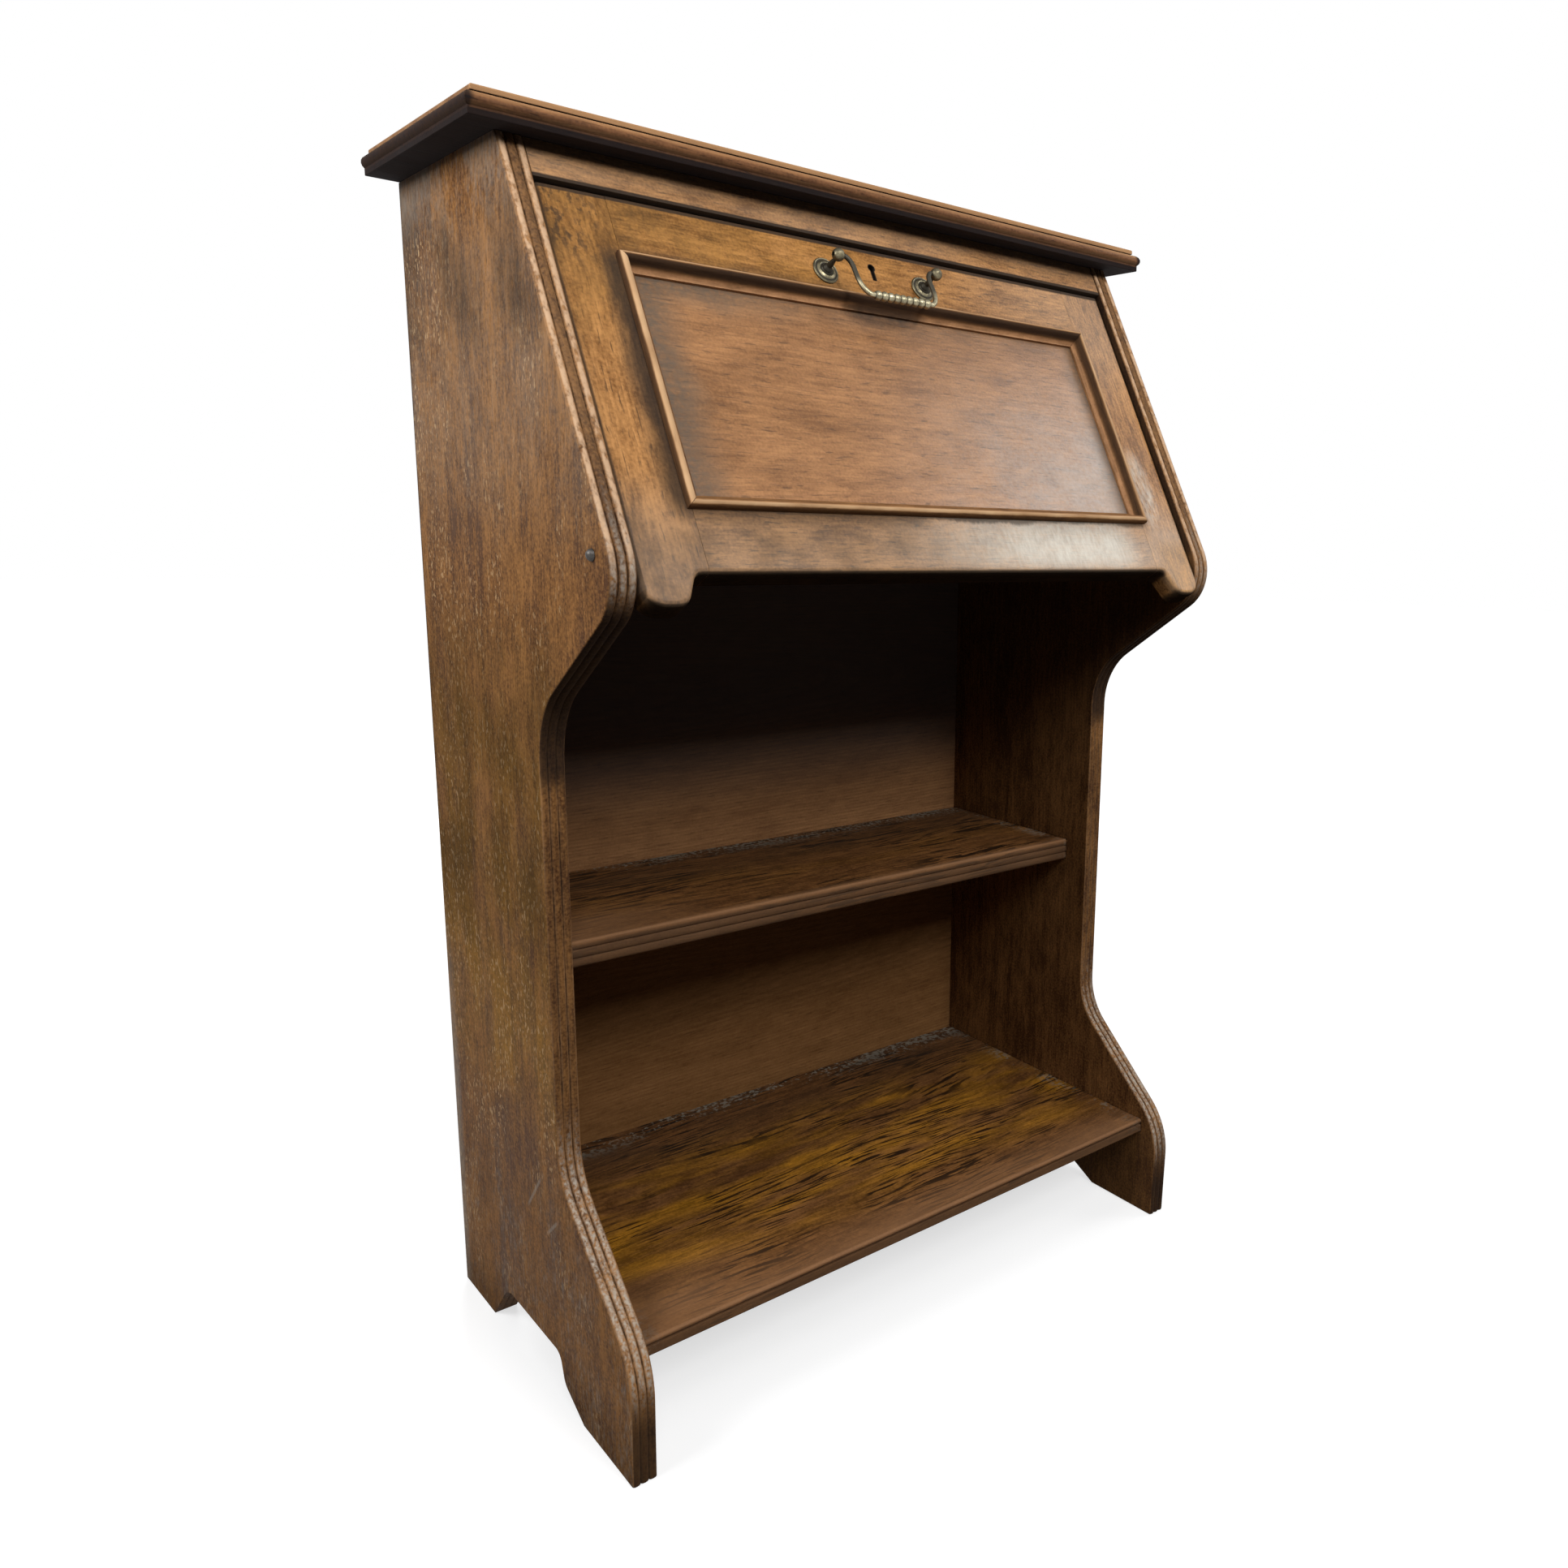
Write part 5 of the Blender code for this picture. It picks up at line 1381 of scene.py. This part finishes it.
@dataclass
class Pins(SubAssembly):
    """The iron pins that the fall turns on."""

    round_over: float = 0.0

    def build(self) -> None:
        """Dresses the pins."""
        for node in ("pivot_pin_left", "pivot_pin_right"):
            self.dress(node, IRON.material(f"iron_{node}"), "iron")


@dataclass
class Fixings(SubAssembly):
    """Nails along the back boards and slotted screws in the lock, which node trees set out."""

    nail_radius: float = 0.0017
    nail_rise: float = 0.3
    nail_pitch: float = 0.078
    nail_inset: float = 0.0047
    nail_sunk: float = 0.0002
    nail_sizes: tuple[float, float] = (0.82, 1.08)
    screw_radius: float = 0.0022
    screw_depth: float = 0.0008
    screw_proud: float = 0.00012
    slot_width: float = 0.0006
    lock_inset: float = 0.0055
    keeper_inset: float = 0.0045
    seed: int = 7

    def build(self) -> None:
        """Sets out the nails and the screws."""
        self.nail_back()
        ends = self.corners("lock_case", OUT_OF_SLOPE, (self.lock_inset, self.lock_inset))
        self.drive("brass_lock_screws", ends, INTO_SLOPE, "fall")
        ends = self.corners("lock_keeper", UP_SLOPE, (self.keeper_inset, None))
        self.drive("brass_keeper_screws", ends, tuple(-part for part in UP_SLOPE), "carcase")

    def nail_back(self) -> None:
        """Nails each back board along both ends and at its foot."""
        corners, edges = [], []
        for node in ("back_board_upper", "back_board_middle", "back_board_lower"):
            low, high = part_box(node)
            left, right = low.x + self.nail_inset, high.x - self.nail_inset
            foot, head = low.z + self.nail_inset, high.z - 4 * self.nail_inset
            for start, end in (((left, head), (left, foot)), ((right, head), (right, foot)),
                               ((left + self.nail_pitch, foot), (right - self.nail_pitch, foot))):
                edges.append((len(corners), len(corners) + 1))
                corners += [(x, high.y - self.nail_sunk, z) for x, z in (start, end)]
        mesh = bpy.data.meshes.new("nail_lines")
        mesh.from_pydata(corners, edges, [])
        nails = new_object("iron_back_nails", mesh)
        tree = GeometryTree("nailed_lines")
        pitch, radius = tree.size("Pitch", self.nail_pitch), tree.size("Radius", self.nail_radius)
        line = tree.node("GeometryNodeMeshToCurve", sockets={"Mesh": tree.geometry})
        line = tree.node("GeometryNodeResampleCurve", {"mode": "LENGTH"}, {"Curve": line, "Length": pitch})
        head = tree.node("GeometryNodeMeshUVSphere", sockets={"Segments": 16, "Rings": 10, "Radius": radius})
        sockets = {"Geometry": head, "Scale": (1.0, self.nail_rise, 1.0)}
        head = tree.node("GeometryNodeTransform", sockets=sockets)
        head = tree.node("GeometryNodeSetShadeSmooth", sockets={"Geometry": head})
        sockets = {"Points": line, "Instance": head, "Scale": tree.scatter(*self.nail_sizes, self.seed)}
        heads = tree.node("GeometryNodeInstanceOnPoints", sockets=sockets)
        tree.apply(nails, heads, IRON.material("iron_back_nails"))
        self.register(nails, "carcase", SLOT_OF["pivot_pin_left"])

    @staticmethod
    def corners(node: str, facing: Triple, inset: tuple[float, float | None]) -> list[Vector]:
        """Places for screws near the ends of a plate.

        Args:
            node: The plate.
            facing: The direction through its thickness, on the side away from the screws.
            inset: How far they stand in from its ends and its other edges, or None for its middle line.

        Returns:
            The places, on the face that the screws go into.
        """
        other = UP_SLOPE if facing == OUT_OF_SLOPE else OUT_OF_SLOPE
        face = span(node, facing)[0]
        left, right = span(node, ALONG_X)
        low, high = span(node, other)
        rows = [(low + high) / 2] if inset[1] is None else [low + inset[1], high - inset[1]]
        return [PIVOT + Vector(ALONG_X) * x + Vector(other) * row + Vector(facing) * face
                for x in (left + inset[0], right - inset[0]) for row in rows]

    def drive(self, name: str, places: list[Vector], axis: Triple, body: str) -> None:
        """Drives slotted screws, each turned its own way.

        Args:
            name: The piece's name.
            places: Where their heads go.
            axis: The direction that the heads face.
            body: The body that carries them.
        """
        mesh = bpy.data.meshes.new(name)
        sunk = Vector(axis) * (self.screw_proud - self.screw_depth / 2)
        mesh.from_pydata([place + sunk for place in places], [], [])
        screws = new_object(name, mesh)
        tree = GeometryTree(name)
        radius, depth = tree.size("Radius", self.screw_radius), tree.size("Depth", self.screw_depth)
        width = tree.size("Slot Width", self.slot_width)
        sockets = {"Vertices": 24, "Radius": radius, "Depth": depth}
        head = tree.node("GeometryNodeMeshCylinder", {"fill_type": "NGON"}, sockets)
        bar = tree.node("ShaderNodeCombineXYZ", sockets={0: radius * 3.0, 1: width, 2: depth})
        slot = tree.node("GeometryNodeMeshCube", sockets={"Size": bar})
        lift = tree.node("ShaderNodeCombineXYZ", sockets={2: depth * 0.6})
        slot = tree.node("GeometryNodeTransform", sockets={"Geometry": slot, "Translation": lift})
        settings = {"operation": "DIFFERENCE", "solver": "EXACT"}
        head = tree.node("GeometryNodeMeshBoolean", settings, {"Mesh 1": head, "Mesh 2": slot})
        turn = tree.node("ShaderNodeCombineXYZ", sockets={2: tree.scatter(0.0, math.pi, self.seed)})
        turn = tree.node("FunctionNodeEulerToRotation", sockets={0: turn})
        sockets = {"Rotation": turn, "Vector": axis}
        turn = tree.node("FunctionNodeAlignRotationToVector", {"axis": "Z"}, sockets)
        points = tree.node("GeometryNodeMeshToPoints", sockets={"Mesh": tree.geometry})
        sockets = {"Points": points, "Instance": head, "Rotation": turn}
        tree.apply(screws, tree.node("GeometryNodeInstanceOnPoints", sockets=sockets), BRASS.material(name))
        self.register(screws, body, SLOT_OF["lock_case"])


@dataclass(frozen=True)
class Lamp:
    """One soft, white, square lamp."""

    name: str
    place: Triple
    aim: Triple
    power: float
    width: float

    def hang(self) -> None:
        """Adds the lamp, turned to what it lights."""
        light = bpy.data.lights.new(self.name, "AREA")
        light.shape = "SQUARE"
        light.size = self.width
        light.energy = self.power
        made = new_object(self.name, light)
        made.location = self.place
        made.visible_camera = False
        made.rotation_mode = "QUATERNION"
        made.rotation_quaternion = (Vector(self.aim) - Vector(self.place)).to_track_quat("-Z", "Y")


@dataclass
class Studio:
    """The pale floor, the soft light and the camera, whose image sizes are in the photograph's pixels."""

    camera_at: Triple = (-0.69407, -0.99193, 0.76275)
    camera_turn: Triple = (78.793, -1.645, -42.486)
    image: float = 1932.0
    focal: float = 1519.33
    principal: tuple[float, float] = (1243.7, 948.9)
    sensor: float = 36.0
    floor_radius: float = 14.0
    floor_drop: float = 0.0006
    glow_reach: Ramp = (0.7, 2.4)
    glow_near: Colour = (0.66, 0.66, 0.66)
    shadowed: Colour = (0.42, 0.42, 0.42)
    bounced: Colour = (0.07, 0.065, 0.06)
    white: Colour = (1.0, 1.0, 1.0)
    lamps: tuple[Lamp, ...] = (
        Lamp("key", (-0.75, -1.55, 2.1), (0.0, -0.05, 0.75), 15.0, 0.8),
        Lamp("front", (0.15, -2.75, 2.5), (0.0, 0.1, 0.5), 60.0, 0.8),
        Lamp("left", (-1.3, -0.05, 1.5), (-0.32, 0.0, 0.8), 17.0, 0.7),
        Lamp("sheen", (1.8, -0.95, 1.95), (0.2, -0.14, 0.8), 14.0, 0.9),
        Lamp("behind", (0.9, 2.4, 1.9), (0.0, 0.15, 0.6), 48.0, 1.0),
    )
    ambient: Colour = (0.11, 0.113, 0.12)
    ambient_low: Colour = (0.01, 0.01, 0.01)

    def build(self) -> None:
        """Sets the scene up."""
        bpy.context.scene.view_settings.view_transform = "Standard"
        self.stand_camera()
        for lamp in self.lamps:
            lamp.hang()
        self.lay_floor()
        self.light_world()

    def stand_camera(self) -> None:
        """Puts the camera where the photograph was taken from."""
        camera = bpy.data.cameras.new("camera")
        camera.sensor_width = self.sensor
        camera.lens = self.focal / self.image * self.sensor
        camera.shift_x = (self.image / 2 - self.principal[0]) / self.image
        camera.shift_y = (self.principal[1] - self.image / 2) / self.image
        made = new_object("camera", camera)
        made.location = self.camera_at
        made.rotation_euler = [math.radians(angle) for angle in self.camera_turn]
        bpy.context.scene.camera = made

    @staticmethod
    def seen(graph: Graph) -> Value:
        """Finds what the camera sees straight, in a mirror or through glass.

        Args:
            graph: The tree that asks.

        Returns:
            1 where it is seen, and 0 elsewhere.
        """
        kinds = ("Is Camera Ray", "Is Glossy Ray", "Is Transmission Ray")
        straight, *others = (graph.node("ShaderNodeLightPath", out=kind) for kind in kinds)
        return straight.most(*others)

    def lay_floor(self) -> None:
        """Lays a round, pale floor, which is white far off and keeps the object's shadow near by."""
        mesh = bpy.data.meshes.new("floor")
        work = bmesh.new()
        bmesh.ops.create_circle(work, cap_ends=True, segments=64, radius=self.floor_radius)
        work.to_mesh(mesh)
        work.free()
        floor = new_object("floor", mesh)
        floor.location.z = -self.floor_drop
        surface = Surface("pale_floor")
        across, depth, _ = surface.xyz
        far = (across ** 2.0 + depth ** 2.0) ** 0.5
        glow = surface.mix(far.smooth(*self.glow_reach), self.glow_near, self.white)
        shine = surface.node("ShaderNodeEmission", sockets={"Color": glow})
        near = surface.node("ShaderNodeBsdfDiffuse", sockets={"Color": self.shadowed})
        shown = surface.node("ShaderNodeAddShader", sockets={0: shine, 1: near})
        bounce = surface.node("ShaderNodeBsdfDiffuse", sockets={"Color": self.bounced})
        both = surface.node("ShaderNodeMixShader", sockets={0: self.seen(surface), 1: bounce, 2: shown})
        surface.node("ShaderNodeOutputMaterial", sockets={"Surface": both})
        mesh.materials.append(surface.material)

    def light_world(self) -> None:
        """Lights the room softly from above, against a white background."""
        world = bpy.data.worlds.new("room")
        bpy.context.scene.world = world
        world.use_nodes = True
        graph = Graph(world.node_tree)
        graph.tree.nodes.clear()
        height = graph.split(graph.node("ShaderNodeTexCoord", out="Generated"))[2]
        tint = graph.mix(height.smooth(-0.05, 0.7), self.ambient_low, self.ambient)
        room = graph.node("ShaderNodeBackground", sockets={"Color": tint})
        white = graph.node("ShaderNodeBackground", sockets={"Color": self.white})
        both = graph.node("ShaderNodeMixShader", sockets={0: self.seen(graph), 1: room, 2: white})
        graph.node("ShaderNodeOutputWorld", sockets={"Surface": both})


def main() -> None:
    """Builds the bureau's looks and the studio round it."""
    logging.basicConfig(level=logging.INFO, format="%(message)s")
    for kind in (Studio, Sides, TopAndFrieze, Shelves, Interior, Fall, Handle, Lock, Pins, Fixings):
        LOG.info("building %s", kind.__name__)
        kind().build()


if __name__ == "__main__":
    main()
